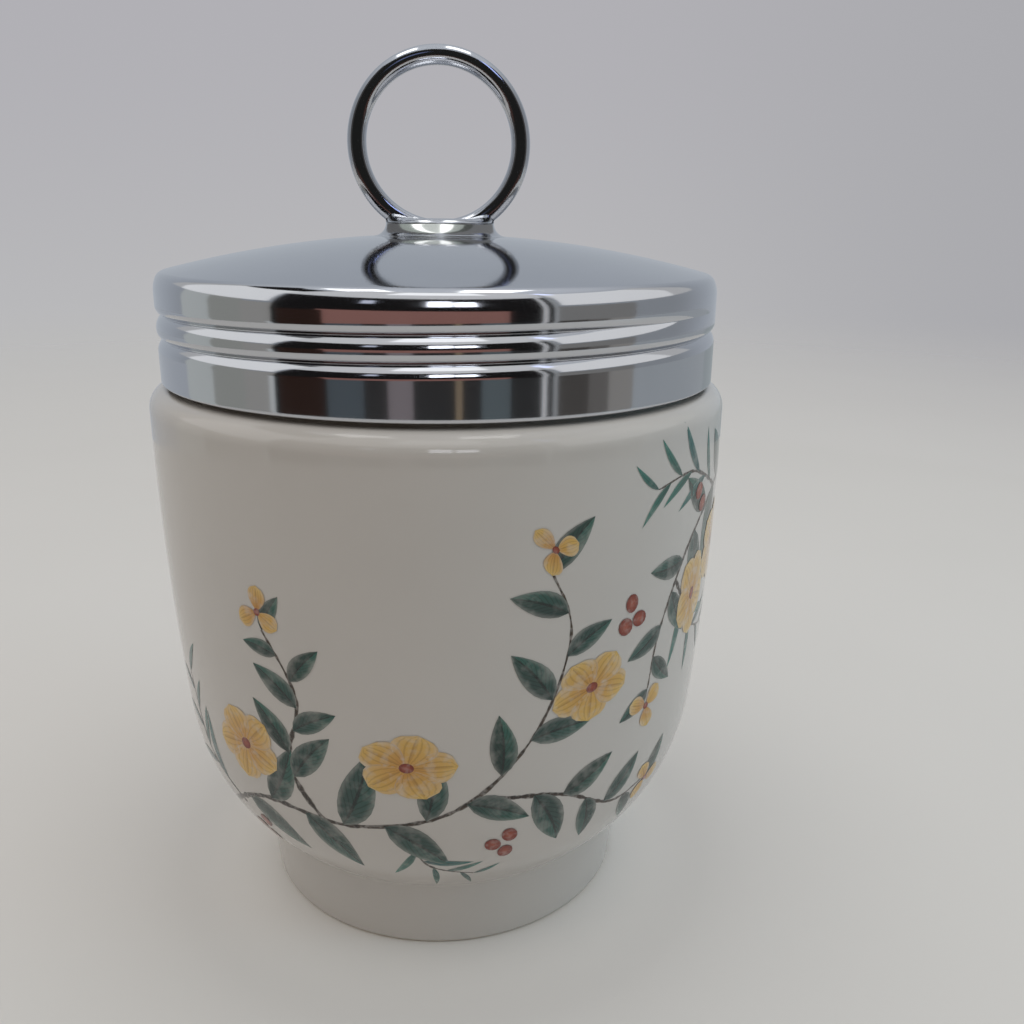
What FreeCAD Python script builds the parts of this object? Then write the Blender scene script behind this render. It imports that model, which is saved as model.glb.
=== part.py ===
import FreeCAD, Part
import math
import os

# Egg coddler: a porcelain cup with a threaded neck, and a pressed metal lid that screws onto it.
# The lid carries a wire ring, held in a turned collar whose stud is peened over a washer.
# Millimetres, +Z up. The origin is the centre of the foot, on the table. The ring faces -Y.

Vector = FreeCAD.Vector

# Cup, outside
body_radius = 28.8          # widest radius, at the shoulder
side_bow = 310.0            # radius of the gentle bow of the side
belly_radius = 22.7         # radius of the turn from the side in towards the foot
belly_height = 22.2         # where the side turns into the belly
upright_height = 50.0       # where the bowed side stands upright
upright_band = 2.9          # straight band above that
shoulder_radius = 2.0       # round of the shoulder
neck_step = 2.75            # how far the neck stands in from the body
neck_root_fillet = 0.4

# Foot
foot_radius = 19.66         # outer radius where the foot stands
foot_flare = 0.64           # how much wider the foot is where it meets the belly
foot_width = 2.9            # width of the ring that it stands on, rounded edges included
foot_round = 0.6            # rounding of the ring's two edges
foot_fillet = 0.9           # hollow round between the foot and the belly
recess_depth = 4.6          # height of the hollow under the base
recess_draft = 0.7          # how much narrower that hollow is at its top

# Cup, inside
wall = 3.2                  # thickness of the side
neck_wall = 2.6             # thickness of the neck
floor_thickness = 3.6
inner_turn_radius = 16.5    # round between the side and the floor, inside
bore_length = 6.5           # straight bore of the neck, below the lip's round
taper_length = 7.0          # height over which the bore widens to the side

# Thread, right-handed, shared by the neck and the lid
thread_pitch = 2.2
thread_depth = 0.65         # depth of the groove rolled into the lid
rib_gap = 0.35              # radial gap from the lid's ribs to the neck
ridge_gap = 0.4             # radial gap from the neck's ridge to the lid's wall
ridge_crest = 0.3           # width of the ridge's crest
ridge_round = 0.1           # how far the crest is domed
ridge_foot = 1.2            # width of the ridge at its foot
ridge_sink = 0.35           # how far its foot lies inside the neck
groove_height = 4.72        # groove at the front, above the lid's lower edge
groove_upper_flank = 0.7    # height of the groove's flank above its bottom
groove_lower_flank = 1.0    # and below it
rib_root = 2.1              # width of the rib where it leaves the sheet
rib_crest = 0.56            # width of its crest
flank_bow = 0.18            # how far the groove's flanks bow outwards
groove_before_front = 170.0 # degrees of groove below the front, to its start at the back
groove_past_front = 430.0   # degrees of groove above the front, to its end on the right
groove_fade = 55.0          # degrees over which the groove fades at each end
ridge_before_front = 110.0
ridge_past_front = 340.0
ridge_fade = 30.0

# Lid
sheet = 0.45                # thickness of the pressed sheet
lid_edge_gap = 0.48         # from the cup's shoulder to the lid's lower edge
lid_height = 13.52          # from the lid's lower edge to the top of its dome
rim_bulge = 0.17            # how far the rim stands out past the skirt
rim_fillet = 2.4            # round between the rim and the dome
dome_radius = 105.5
edge_round = 0.15           # rounding of the lid's cut lower edge
seat_gap = 0.35             # from the cup's lip to the underside of the dome

# Collar, stud and washer
collar_radius = 5.35
collar_height = 1.5         # above the top of the dome
collar_flare = 1.3          # hollow round where the collar meets the dome
collar_chamfer = 0.25
stud_radius = 1.6
stud_fit = 0.05             # radial gap of the stud in the dome
stud_head_radius = 2.8
stud_head_height = 0.9
washer_radius = 4.6
washer_thickness = 0.6
washer_gap = 0.08           # radial gap round the stud, and under the dome

# Ring
ring_bore_radius = 7.025
ring_wire = 1.85            # diameter of the wire
ring_sink = 0.125           # how far the ring's bore dips into the collar
ring_seat = 0.25            # collar left under the flat on the ring

# Worked out: heights from the table up
shoulder_height = upright_height + upright_band + shoulder_radius
lid_edge_height = shoulder_height + lid_edge_gap
groove_front_height = lid_edge_height + groove_height
dome_top = lid_edge_height + lid_height
dome_centre = dome_top - dome_radius
collar_top = dome_top + collar_height
ring_centre = collar_top - ring_sink + ring_bore_radius
floor_height = recess_depth + floor_thickness

# Worked out: radii from the neck out
neck_radius = body_radius - neck_step
rib_radius = neck_radius + rib_gap
lid_inner_radius = rib_radius + thread_depth
lid_radius = lid_inner_radius + sheet
rim_radius = lid_radius + rim_bulge
ridge_radius = lid_inner_radius - ridge_gap
bore_radius = neck_radius - neck_wall
ring_radius = ring_bore_radius + ring_wire / 2

dome_drop = dome_radius - sheet - math.sqrt((dome_radius - sheet) ** 2 - washer_radius ** 2)
washer_foot = dome_top - sheet - dome_drop - washer_gap - washer_thickness

front_deg = -90.0           # the angle of the front, about +Z from +X


def at(radius, height):
    # A point of an outline, which lies in the XZ plane.
    return Vector(radius, 0, height)


def line(start, end):
    return Part.LineSegment(start, end).toShape()


def arc(centre, radius, start_deg, end_deg):
    # An arc of an outline, run from one angle to the other. Angles turn from +X towards +Z.
    points = []
    for angle in (start_deg, (start_deg + end_deg) / 2, end_deg):
        turn = math.radians(angle)
        points.append(centre + Vector(radius * math.cos(turn), 0, radius * math.sin(turn)))
    return Part.Arc(*points).toShape()


def bowed(start, end, bow):
    # An arc whose middle stands off the straight line by bow, to the right of its direction.
    along = (end - start).normalize()
    middle = (start + end) * 0.5 + Vector(along.z, 0, -along.x) * bow
    return Part.Arc(start, middle, end).toShape()


def first_point(part):
    return part if isinstance(part, Vector) else part.valueAt(part.FirstParameter)


def last_point(part):
    return part if isinstance(part, Vector) else part.valueAt(part.LastParameter)


def outline(parts):
    # A closed wire through points and edges, in order, with straight lines where two don't meet.
    edges = []
    for part, following in zip(parts, parts[1:] + parts[:1]):
        if not isinstance(part, Vector):
            edges.append(part)
        if last_point(part).distanceToPoint(first_point(following)) > 1e-6:
            edges.append(line(last_point(part), first_point(following)))
    return Part.Wire(edges)


def turned(parts):
    # The solid that a closed outline makes when it is turned about +Z.
    return Part.Face(outline(parts)).revolve(Vector(0, 0, 0), Vector(0, 0, 1), 360)


def circles_at(shape, height):
    # The edges of a turned shape that run right round it at a height.
    return [edge for edge in shape.Edges if edge.Length > 0.01 and edge.isClosed()
            and abs(edge.BoundBox.Center.z - height) < 0.001 and edge.BoundBox.ZLength < 0.001]


def on_dome(radius, offset=0.0):
    # The point of the dome at a radius, on the surface that lies offset under the outer one.
    return at(radius, dome_centre + math.sqrt((dome_radius - offset) ** 2 - radius ** 2))


def on_dome_deg(radius, offset=0.0):
    return math.degrees(math.acos(radius / (dome_radius - offset)))


def helical_sweep(parts, front_height, before_front, past_front, fade_deg, fade_shift):
    # Sweeps an outline along the thread's helix. Its heights count from the helix, which crosses
    # the front at front_height. Over the last fade_deg at each end the outline moves outwards by
    # fade_shift, so that the thread runs smoothly out of the wall.
    step_deg = 12
    steps = int(math.ceil((before_front + past_front) / step_deg))
    path_radius = first_point(parts[0]).x
    points = []
    for step in range(steps + 1):
        degrees = -before_front + (before_front + past_front) * step / steps
        from_end = min(degrees + before_front, past_front - degrees)
        share = max(0.0, 1 - from_end / fade_deg)
        radius = path_radius + fade_shift * (1 - math.cos(math.pi * share)) / 2
        turn = math.radians(front_deg + degrees)
        height = front_height + thread_pitch * degrees / 360
        points.append(Vector(radius * math.cos(turn), radius * math.sin(turn), height))
    path = Part.BSplineCurve()
    path.interpolate(points)

    section = outline(parts)
    section.translate(Vector(fade_shift, 0, points[0].z))
    section.rotate(Vector(0, 0, 0), Vector(0, 0, 1), front_deg - before_front)
    pipe = Part.BRepOffsetAPI.MakePipeShell(Part.Wire(path.toShape()))
    pipe.setBiNormalMode(Vector(0, 0, 1))
    pipe.add(section)
    pipe.build()
    pipe.makeSolid()
    return pipe.shape()


def make_neck_ridge():
    flank_top = ridge_radius - ridge_round
    parts = [
        at(neck_radius - ridge_sink, -ridge_foot / 2),
        bowed(at(flank_top, -ridge_crest / 2), at(flank_top, ridge_crest / 2), ridge_round),
        at(neck_radius - ridge_sink, ridge_foot / 2),
    ]
    return helical_sweep(parts, groove_front_height + thread_pitch / 2, ridge_before_front,
                         ridge_past_front, ridge_fade, neck_radius - ridge_radius - ridge_round)


def make_cup():
    # The foot: the hollow under the base, and the ring that it stands on.
    recess_radius = foot_radius - foot_width
    inner_round = arc(at(recess_radius + foot_round, foot_round), foot_round, 180, 270)
    outer_round = arc(at(foot_radius - foot_round, foot_round), foot_round, 270, 360)

    # The belly and the side are tangent arcs, which meet at belly_height.
    side_centre = at(body_radius - side_bow, upright_height)
    side_deg = -math.degrees(math.asin((upright_height - belly_height) / side_bow))
    side = arc(side_centre, side_bow, side_deg, 0)
    belly_share = belly_radius / side_bow
    belly_centre = first_point(side) + (side_centre - first_point(side)) * belly_share
    foot_top_radius = foot_radius + foot_flare
    foot_deg = -math.degrees(math.acos((foot_top_radius - belly_centre.x) / belly_radius))
    belly = arc(belly_centre, belly_radius, foot_deg, side_deg)

    shoulder_centre = at(body_radius - shoulder_radius, shoulder_height - shoulder_radius)
    shoulder = arc(shoulder_centre, shoulder_radius, 0, 90)
    root_centre = at(neck_radius + neck_root_fillet, shoulder_height + neck_root_fillet)
    root = arc(root_centre, neck_root_fillet, 270, 180)
    lip_round = neck_wall / 2
    lip_top = on_dome(neck_radius - lip_round, sheet).z - seat_gap
    lip = arc(at(neck_radius - lip_round, lip_top - lip_round), lip_round, 0, 180)

    # Inside, the neck's bore opens smoothly to the side, which turns in to a flat floor.
    taper_top = last_point(lip).z - bore_length
    taper_low = taper_top - taper_length
    inner_bow = side_bow - wall
    top_deg = -math.degrees(math.asin((upright_height - taper_low) / inner_bow))
    turn_height = floor_height + inner_turn_radius
    low_deg = -math.degrees(math.asin((upright_height - turn_height) / (inner_bow - inner_turn_radius)))
    inner_side = arc(side_centre, inner_bow, top_deg, low_deg)
    turn_share = inner_turn_radius / inner_bow
    turn_centre = last_point(inner_side) + (side_centre - last_point(inner_side)) * turn_share
    inner_turn = arc(turn_centre, inner_turn_radius, low_deg, -90)
    taper = Part.BezierCurve()
    taper.setPoles([
        at(bore_radius, taper_top),
        at(bore_radius, taper_top - taper_length / 2),
        first_point(inner_side) + at(0, taper_length / 2),
        first_point(inner_side),
    ])

    cup = turned([
        at(0, recess_depth),
        at(recess_radius - recess_draft, recess_depth),
        inner_round, outer_round, belly, side, shoulder, root, lip,
        taper.toShape(), inner_side, inner_turn,
        at(0, floor_height),
    ])
    foot_joint = circles_at(cup, first_point(belly).z)
    return cup.makeFillet(foot_fillet, foot_joint).fuse(make_neck_ridge())


def lid_body(offset):
    # The lid as a full solid, with its surface moved inwards by offset.
    skirt_radius = lid_radius - offset
    fillet_radius = rim_radius - rim_fillet
    fillet_centre = on_dome(fillet_radius, rim_fillet)
    fillet_deg = on_dome_deg(fillet_radius, rim_fillet)
    return turned([
        at(0, lid_edge_height),
        at(skirt_radius, lid_edge_height),
        at(skirt_radius, groove_front_height - groove_lower_flank),
        arc(fillet_centre, rim_fillet - offset, 0, fillet_deg),
        arc(at(0, dome_centre), dome_radius - offset, fillet_deg, 90),
    ])


def make_groove():
    valley = at(lid_radius - thread_depth, 0)
    upper = at(rim_radius, groove_upper_flank)
    lower = at(rim_radius, -groove_lower_flank)
    parts = [
        bowed(upper, valley, -flank_bow),
        bowed(valley, lower, -flank_bow),
        at(rim_radius + thread_depth, -groove_lower_flank),
        at(rim_radius + thread_depth, groove_upper_flank),
    ]
    return helical_sweep(parts, groove_front_height, groove_before_front, groove_past_front,
                         groove_fade, thread_depth + rim_bulge)


def make_rib():
    # The sheet stands in behind the groove as a rib, which catches under the neck's ridge.
    root_radius = rim_radius - sheet / 2
    parts = [
        at(rib_radius, rib_crest / 2),
        at(rib_radius, -rib_crest / 2),
        at(root_radius, -rib_root / 2),
        at(root_radius, rib_root / 2),
    ]
    return helical_sweep(parts, groove_front_height, groove_before_front, groove_past_front,
                         groove_fade, thread_depth)


def make_lid_shell():
    body = lid_body(0)
    shell = body.cut(lid_body(sheet))
    shell = shell.makeFillet(edge_round, circles_at(shell, lid_edge_height))
    stud_hole = Part.makeCylinder(stud_radius + stud_fit, lid_height, at(0, lid_edge_height))
    return shell.fuse(make_rib().common(body)).cut(make_groove()).cut(stud_hole)


def make_ring():
    ring = Part.makeTorus(ring_radius, ring_wire / 2, at(0, ring_centre), Vector(0, 1, 0))
    # A flat on its underside, where it lies over the stud.
    span = 2 * (ring_radius + ring_wire)
    flat_height = dome_top + ring_seat
    below = Part.makeBox(span, span, span, Vector(-span / 2, -span / 2, flat_height - span))
    return ring.cut(below)


def make_collar(ring):
    # The collar, seated on the dome, with the stud below it and the stud's peened head.
    flare_radius = collar_radius + collar_flare
    flare_centre = on_dome(flare_radius, -collar_flare)
    flare_deg = on_dome_deg(flare_radius, -collar_flare)
    head_foot = washer_foot - stud_head_height
    collar = turned([
        at(0, head_foot),
        bowed(at(stud_head_radius / 2, head_foot), at(stud_head_radius, washer_foot),
              stud_head_height / 4),
        at(stud_radius, washer_foot),
        arc(at(0, dome_centre), dome_radius, on_dome_deg(stud_radius), flare_deg),
        arc(flare_centre, collar_flare, 180 + flare_deg, 180),
        at(collar_radius, collar_top - collar_chamfer),
        at(collar_radius - collar_chamfer, collar_top),
        at(0, collar_top),
    ])
    return collar.cut(ring)


def make_washer():
    disc = Part.makeCylinder(washer_radius, washer_thickness, at(0, washer_foot))
    hole = Part.makeCylinder(stud_radius + washer_gap, washer_thickness, at(0, washer_foot))
    return disc.cut(hole)


def main():
    ring = make_ring()
    nodes = {
        "porcelain_cup": make_cup(),
        "lid_shell": make_lid_shell(),
        "finial_ring": ring,
        "finial_collar": make_collar(ring),
        "backing_washer": make_washer(),
    }
    os.makedirs("parts", exist_ok=True)
    for name, shape in nodes.items():
        shape.exportStep("parts/" + name + ".step")
        print(name, "solids:", len(shape.Solids), "volume, mm3:", round(shape.Volume, 2))


main()
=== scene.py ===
import bpy
import bmesh
import math
from mathutils import Matrix, Vector


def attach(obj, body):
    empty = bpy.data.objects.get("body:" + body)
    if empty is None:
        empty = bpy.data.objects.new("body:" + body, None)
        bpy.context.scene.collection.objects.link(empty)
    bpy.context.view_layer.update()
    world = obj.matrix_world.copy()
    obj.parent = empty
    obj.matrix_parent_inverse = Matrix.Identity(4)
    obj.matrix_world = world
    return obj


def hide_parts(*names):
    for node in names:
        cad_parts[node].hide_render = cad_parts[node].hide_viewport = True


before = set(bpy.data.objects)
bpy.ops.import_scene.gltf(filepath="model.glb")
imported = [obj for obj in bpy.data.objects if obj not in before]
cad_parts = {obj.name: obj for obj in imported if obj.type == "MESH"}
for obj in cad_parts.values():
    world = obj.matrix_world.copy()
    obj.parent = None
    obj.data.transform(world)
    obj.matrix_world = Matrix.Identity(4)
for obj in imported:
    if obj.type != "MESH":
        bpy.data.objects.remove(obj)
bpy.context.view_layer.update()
scene = bpy.context.scene
mm = 0.001
frontAngle = -90.0  # degrees round from +X, where the main spray and the ring's open side face
threadPitch = 2.2  # mm that the lid climbs in a turn


# Helpers

def colour(hexText):
    # An sRGB hex value as linear RGBA.
    parts = [int(hexText[i:i + 2], 16) / 255 for i in (1, 3, 5)]
    return [c / 12.92 if c <= 0.04045 else ((c + 0.055) / 1.055) ** 2.4 for c in parts] + [1.0]


def addNode(tree, kind, settings=None, inputs=()):
    # Adds a node, sets it up, fills its inputs by place or by name, and returns its first output.
    node = tree.nodes.new(kind)
    for key, value in (settings or {}).items():
        setattr(node, key, value)
    sockets = [s for s in node.inputs if s.enabled]
    pairs = inputs.items() if isinstance(inputs, dict) else enumerate(inputs)
    for key, value in pairs:
        socket = sockets[key] if isinstance(key, int) else next(s for s in sockets if s.name == key)
        if isinstance(value, bpy.types.NodeSocket):
            tree.links.new(value, socket)
        elif value is not None:
            socket.default_value = value
    shown = [s for s in node.outputs if s.enabled]
    return shown[0] if shown else node


def newTree(name, sockets):
    # A geometry tree with named inputs, and the dictionary of its input sockets.
    tree = bpy.data.node_groups.new(name, "GeometryNodeTree")
    tree.interface.new_socket("Geometry", in_out="INPUT", socket_type="NodeSocketGeometry")
    for label, kind in sockets:
        tree.interface.new_socket(label, in_out="INPUT", socket_type="NodeSocket" + kind)
    tree.interface.new_socket("Geometry", in_out="OUTPUT", socket_type="NodeSocketGeometry")
    source = tree.nodes.new("NodeGroupInput")
    return tree, {s.name: s for s in source.outputs if s.name}


def endTree(tree, geometry, finish):
    shaded = addNode(tree, "GeometryNodeSetShadeSmooth", inputs={"Geometry": geometry})
    real = addNode(tree, "GeometryNodeRealizeInstances", inputs=[shaded])
    addNode(tree, "NodeGroupOutput",
            inputs=[addNode(tree, "GeometryNodeSetMaterial", inputs={"Geometry": real, "Material": finish})])


def grow(name, tree, values, source=None):
    # Runs a tree on a mesh and gives the result as a plain object at the origin.
    holder = bpy.data.objects.new(name + "Source", source or bpy.data.meshes.new(name + "Source"))
    scene.collection.objects.link(holder)
    modifier = holder.modifiers.new("nodes", "NODES")
    modifier.node_group = tree
    for item in tree.interface.items_tree:
        if item.in_out == "INPUT" and item.name in values:
            modifier[item.identifier] = values[item.name]
    depsgraph = bpy.context.evaluated_depsgraph_get()
    mesh = bpy.data.meshes.new_from_object(holder.evaluated_get(depsgraph), depsgraph=depsgraph)
    bpy.data.objects.remove(holder)
    mesh.name = name
    made = bpy.data.objects.new(name, mesh)
    scene.collection.objects.link(made)
    return made


def joined(name, parts, weld=None):
    # One object from several that share their frame, keeping each one's materials.
    with bpy.context.temp_override(active_object=parts[0], selected_editable_objects=parts,
                                   selected_objects=parts):
        bpy.ops.object.join()
    made = parts[0]
    made.name = made.data.name = name
    if weld:
        work = bmesh.new()
        work.from_mesh(made.data)
        bmesh.ops.remove_doubles(work, verts=work.verts, dist=weld)
        work.to_mesh(made.data)
        work.free()
    return made


def lineMesh(name, points, chained=True):
    # Points in metres as a mesh, joined in a chain where it is an outline or a stem.
    mesh = bpy.data.meshes.new(name)
    edges = [(i, i + 1) for i in range(len(points) - 1)] if chained else []
    mesh.from_pydata(points, edges, [])
    return mesh


def arcPoints(centre, radius, startDeg, endDeg, steps):
    # Points on an arc, cut into equal steps, with both its ends.
    turns = [math.radians(startDeg + (endDeg - startDeg) * i / steps) for i in range(steps + 1)]
    return [(centre[0] + radius * math.cos(a), centre[1] + radius * math.sin(a)) for a in turns]


def straight(start, end, steps):
    # The same on a straight line.
    across, up = end[0] - start[0], end[1] - start[1]
    return [(start[0] + across * i / steps, start[1] + up * i / steps) for i in range(steps + 1)]


def chain(*runs):
    # Runs of (radius, height) points in mm, one after another, without repeats.
    samePlace = 1e-4
    points = []
    for run in runs:
        for point in run:
            if not points or math.dist(point, points[-1]) > samePlace:
                points.append(point)
    return points


def lengthsOf(points):
    lengths = [0.0]
    for a, b in zip(points, points[1:]):
        lengths.append(lengths[-1] + math.dist(a, b))
    return lengths


def lengthAt(points, height, after=0):
    # How far along an outline its first crossing of a height lies, from point number after on.
    lengths = lengthsOf(points)
    for i in range(after, len(points) - 1):
        low, high = points[i][1], points[i + 1][1]
        if (low - height) * (high - height) <= 0 and low != high:
            return lengths[i] + (height - low) / (high - low) * (lengths[i + 1] - lengths[i])
    raise ValueError(height)


# Geometry Nodes: a shell turned about +Z, with a helical thread pressed into it

def makeShellTree():
    tree, given = newTree("turnedShell", [
        ("Outline", "Object"), ("Rows", "Object"), ("Columns", "Int"), ("Thread Front", "Float"),
        ("Pitch", "Float"), ("Depth", "Float"), ("Upper Flank", "Float"), ("Lower Flank", "Float"),
        ("Crest", "Float"), ("Flank Bow", "Float"), ("Before Front", "Float"), ("Past Front", "Float"),
        ("Fade", "Float"), ("Finish", "Material")])
    rows = addNode(tree, "GeometryNodeObjectInfo", inputs=[given["Rows"]]).node.outputs["Geometry"]
    rowCount = addNode(tree, "GeometryNodeAttributeDomainSize", inputs=[rows])
    columns = addNode(tree, "ShaderNodeMath", {"operation": "ADD"}, [given["Columns"], 1.0])
    grid = addNode(tree, "GeometryNodeMeshGrid", inputs=[1.0, 1.0, columns, rowCount])
    place = addNode(tree, "ShaderNodeSeparateXYZ",
                    inputs=[addNode(tree, "GeometryNodeInputPosition")]).node.outputs
    turnShare = addNode(tree, "ShaderNodeMath", {"operation": "ADD"}, [place["X"], 0.5])
    lastRow = addNode(tree, "ShaderNodeMath", {"operation": "SUBTRACT"}, [rowCount, 1.0])
    rowShare = addNode(tree, "ShaderNodeMath", {"operation": "ADD"}, [place["Y"], 0.5])
    rowPlace = addNode(tree, "ShaderNodeMath", {"operation": "MULTIPLY"}, [rowShare, lastRow])
    row = addNode(tree, "ShaderNodeMath", {"operation": "ROUND"}, [rowPlace])

    # Each row runs from one length along the outline at the seam to another a turn later.
    ends = addNode(tree, "GeometryNodeSampleIndex", {"data_type": "FLOAT_VECTOR", "domain": "POINT"},
                   [rows, addNode(tree, "GeometryNodeInputPosition"), row])
    endParts = addNode(tree, "ShaderNodeSeparateXYZ", inputs=[ends]).node.outputs
    along = addNode(tree, "ShaderNodeMix", {"data_type": "FLOAT"}, [turnShare, endParts["X"], endParts["Y"]])
    shape = addNode(tree, "GeometryNodeObjectInfo", inputs=[given["Outline"]]).node.outputs["Geometry"]
    curve = addNode(tree, "GeometryNodeMeshToCurve", inputs=[shape])
    sample = addNode(tree, "GeometryNodeSampleCurve",
                     {"mode": "LENGTH", "use_all_curves": True, "data_type": "FLOAT"},
                     {"Curves": curve, "Length": along}).node.outputs["Position"]
    point = addNode(tree, "ShaderNodeSeparateXYZ", inputs=[sample]).node.outputs

    # Height above the nearest turn of the thread, and degrees past the front along it.
    halfTurn = addNode(tree, "ShaderNodeMath", {"operation": "SUBTRACT"}, [turnShare, 0.5])
    climb = addNode(tree, "ShaderNodeMath", {"operation": "MULTIPLY_ADD"},
                    [halfTurn, given["Pitch"], given["Thread Front"]])
    above = addNode(tree, "ShaderNodeMath", {"operation": "SUBTRACT"}, [along, climb])
    turns = addNode(tree, "ShaderNodeMath", {"operation": "DIVIDE"}, [above, given["Pitch"]])
    whole = addNode(tree, "ShaderNodeMath", {"operation": "ROUND"}, [turns])
    part = addNode(tree, "ShaderNodeMath", {"operation": "SUBTRACT"}, [turns, whole])
    height = addNode(tree, "ShaderNodeMath", {"operation": "MULTIPLY"}, [part, given["Pitch"]])
    wound = addNode(tree, "ShaderNodeMath", {"operation": "ADD"}, [whole, halfTurn])
    degrees = addNode(tree, "ShaderNodeMath", {"operation": "MULTIPLY"}, [wound, 360.0])

    # The flanks meet in a sharp line, bow outwards and run smoothly into the wall.
    isAbove = addNode(tree, "FunctionNodeCompare", {"data_type": "FLOAT", "operation": "GREATER_THAN"},
                      [height, 0.0])
    flank = addNode(tree, "GeometryNodeSwitch", {"input_type": "FLOAT"},
                    [isAbove, given["Lower Flank"], given["Upper Flank"]])
    away = addNode(tree, "ShaderNodeMath", {"operation": "ABSOLUTE"}, [height])
    share = addNode(tree, "ShaderNodeMath", {"operation": "DIVIDE", "use_clamp": True}, [away, flank])
    left = addNode(tree, "ShaderNodeMath", {"operation": "SUBTRACT"}, [1.0, share])
    crested = addNode(tree, "ShaderNodeMath", {"operation": "MULTIPLY", "use_clamp": True},
                      [left, given["Crest"]])
    bowed = addNode(tree, "ShaderNodeMath", {"operation": "POWER"}, [crested, given["Flank Bow"]])
    fromStart = addNode(tree, "ShaderNodeMath", {"operation": "ADD"}, [degrees, given["Before Front"]])
    toEnd = addNode(tree, "ShaderNodeMath", {"operation": "SUBTRACT"}, [given["Past Front"], degrees])
    fromEnd = addNode(tree, "ShaderNodeMath", {"operation": "MINIMUM"}, [fromStart, toEnd])
    fading = addNode(tree, "ShaderNodeMapRange", {"interpolation_type": "SMOOTHSTEP"},
                     [fromEnd, 0.0, given["Fade"], 0.0, 1.0])
    cut = addNode(tree, "ShaderNodeMath", {"operation": "MULTIPLY"}, [given["Depth"], fading])
    depth = addNode(tree, "ShaderNodeMath", {"operation": "MULTIPLY"}, [cut, bowed])
    radius = addNode(tree, "ShaderNodeMath", {"operation": "SUBTRACT"}, [point["X"], depth])

    angle = addNode(tree, "ShaderNodeMapRange", {"clamp": False},
                    [turnShare, 0.0, 1.0, math.radians(frontAngle - 180), math.radians(frontAngle + 180)])
    x = addNode(tree, "ShaderNodeMath", {"operation": "MULTIPLY"},
                [radius, addNode(tree, "ShaderNodeMath", {"operation": "COSINE"}, [angle])])
    y = addNode(tree, "ShaderNodeMath", {"operation": "MULTIPLY"},
                [radius, addNode(tree, "ShaderNodeMath", {"operation": "SINE"}, [angle])])
    spot = addNode(tree, "ShaderNodeCombineXYZ", inputs=[x, y, point["Z"]])
    bent = addNode(tree, "GeometryNodeSetPosition", inputs={"Geometry": grid, "Position": spot})
    weld = 0.002 * mm  # closes the seam and the poles
    closed = addNode(tree, "GeometryNodeMergeByDistance", inputs={"Geometry": bent, "Distance": weld})
    endTree(tree, closed, given["Finish"])
    return tree


def turnedShell(name, outline, columns, finish, thread=None):
    # outline is a list of (radius, height) in mm, run so that the outside is on its right. A thread
    # goes depth into the wall, or stands out of it where depth is under 0. Its flanks are as wide
    # as given above and below its line, a crest over 1 flattens that line, and it runs from
    # beforeFront to pastFront in degrees, with a fade at each end.
    lengths = lengthsOf(outline)
    rows = [(s, s) for s in lengths]
    values = {"Columns": columns, "Finish": finish, "Pitch": threadPitch * mm, "Thread Front": 0.0,
              "Depth": 0.0, "Upper Flank": 1.0, "Lower Flank": 1.0, "Crest": 1.0, "Flank Bow": 1.0,
              "Before Front": 0.0, "Past Front": 0.0, "Fade": 1.0}
    if thread:
        # Between low and high the rows follow the thread, which climbs one pitch a turn. A wedge
        # of rows opens below them and another closes above them, so the seam's rows all meet.
        pitch, count = thread["pitch"], thread["rowsPerPitch"]
        low = thread["front"] - pitch
        high = low + 3 * pitch
        clear = 0.02  # mm that the plain rows keep from the wedges
        steps = [2 * i / count - 1 for i in range(1, count + 1)]
        shares = [0.5 + 0.5 * math.copysign(abs(u) ** thread["crowding"], u) for u in steps]
        rows = [(s, s) for s in lengths if s < low - clear] + [(low, low)]
        rows += [(low, low + pitch * t) for t in shares]
        rows += [(low + pitch * (k + t), low + pitch * (k + 1 + t)) for k in (0, 1) for t in shares]
        rows += [(low + pitch * (2 + t), high) for t in shares]
        rows += [(s, s) for s in lengths if s > high + clear]
        values.update({"Pitch": pitch * mm, "Thread Front": thread["front"] * mm, "Depth": thread["depth"] * mm,
                       "Upper Flank": thread["upperFlank"] * mm, "Lower Flank": thread["lowerFlank"] * mm,
                       "Crest": thread["crest"], "Flank Bow": thread["flankBow"],
                       "Before Front": thread["beforeFront"], "Past Front": thread["pastFront"],
                       "Fade": thread["fade"]})
    helpers = {}
    for label, points in (("Outline", [(r * mm, 0, z * mm) for r, z in outline]),
                          ("Rows", [(a * mm, b * mm, 0) for a, b in rows])):
        helpers[label] = bpy.data.objects.new(name + label, lineMesh(name + label, points, label == "Outline"))
        scene.collection.objects.link(helpers[label])
    made = grow(name, shellTree, {**values, **helpers})
    for helper in helpers.values():
        bpy.data.objects.remove(helper)
    return made


# Materials

def newMaterial(name, values):
    # A material with one Principled shader, whose even values sit on its own sockets.
    material = bpy.data.materials.new(name)
    material.use_nodes = True
    tree = material.node_tree
    tree.nodes.clear()
    shader = addNode(tree, "ShaderNodeBsdfPrincipled", inputs=values).node
    addNode(tree, "ShaderNodeOutputMaterial", inputs=[shader.outputs[0]])
    return material, tree, shader


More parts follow.
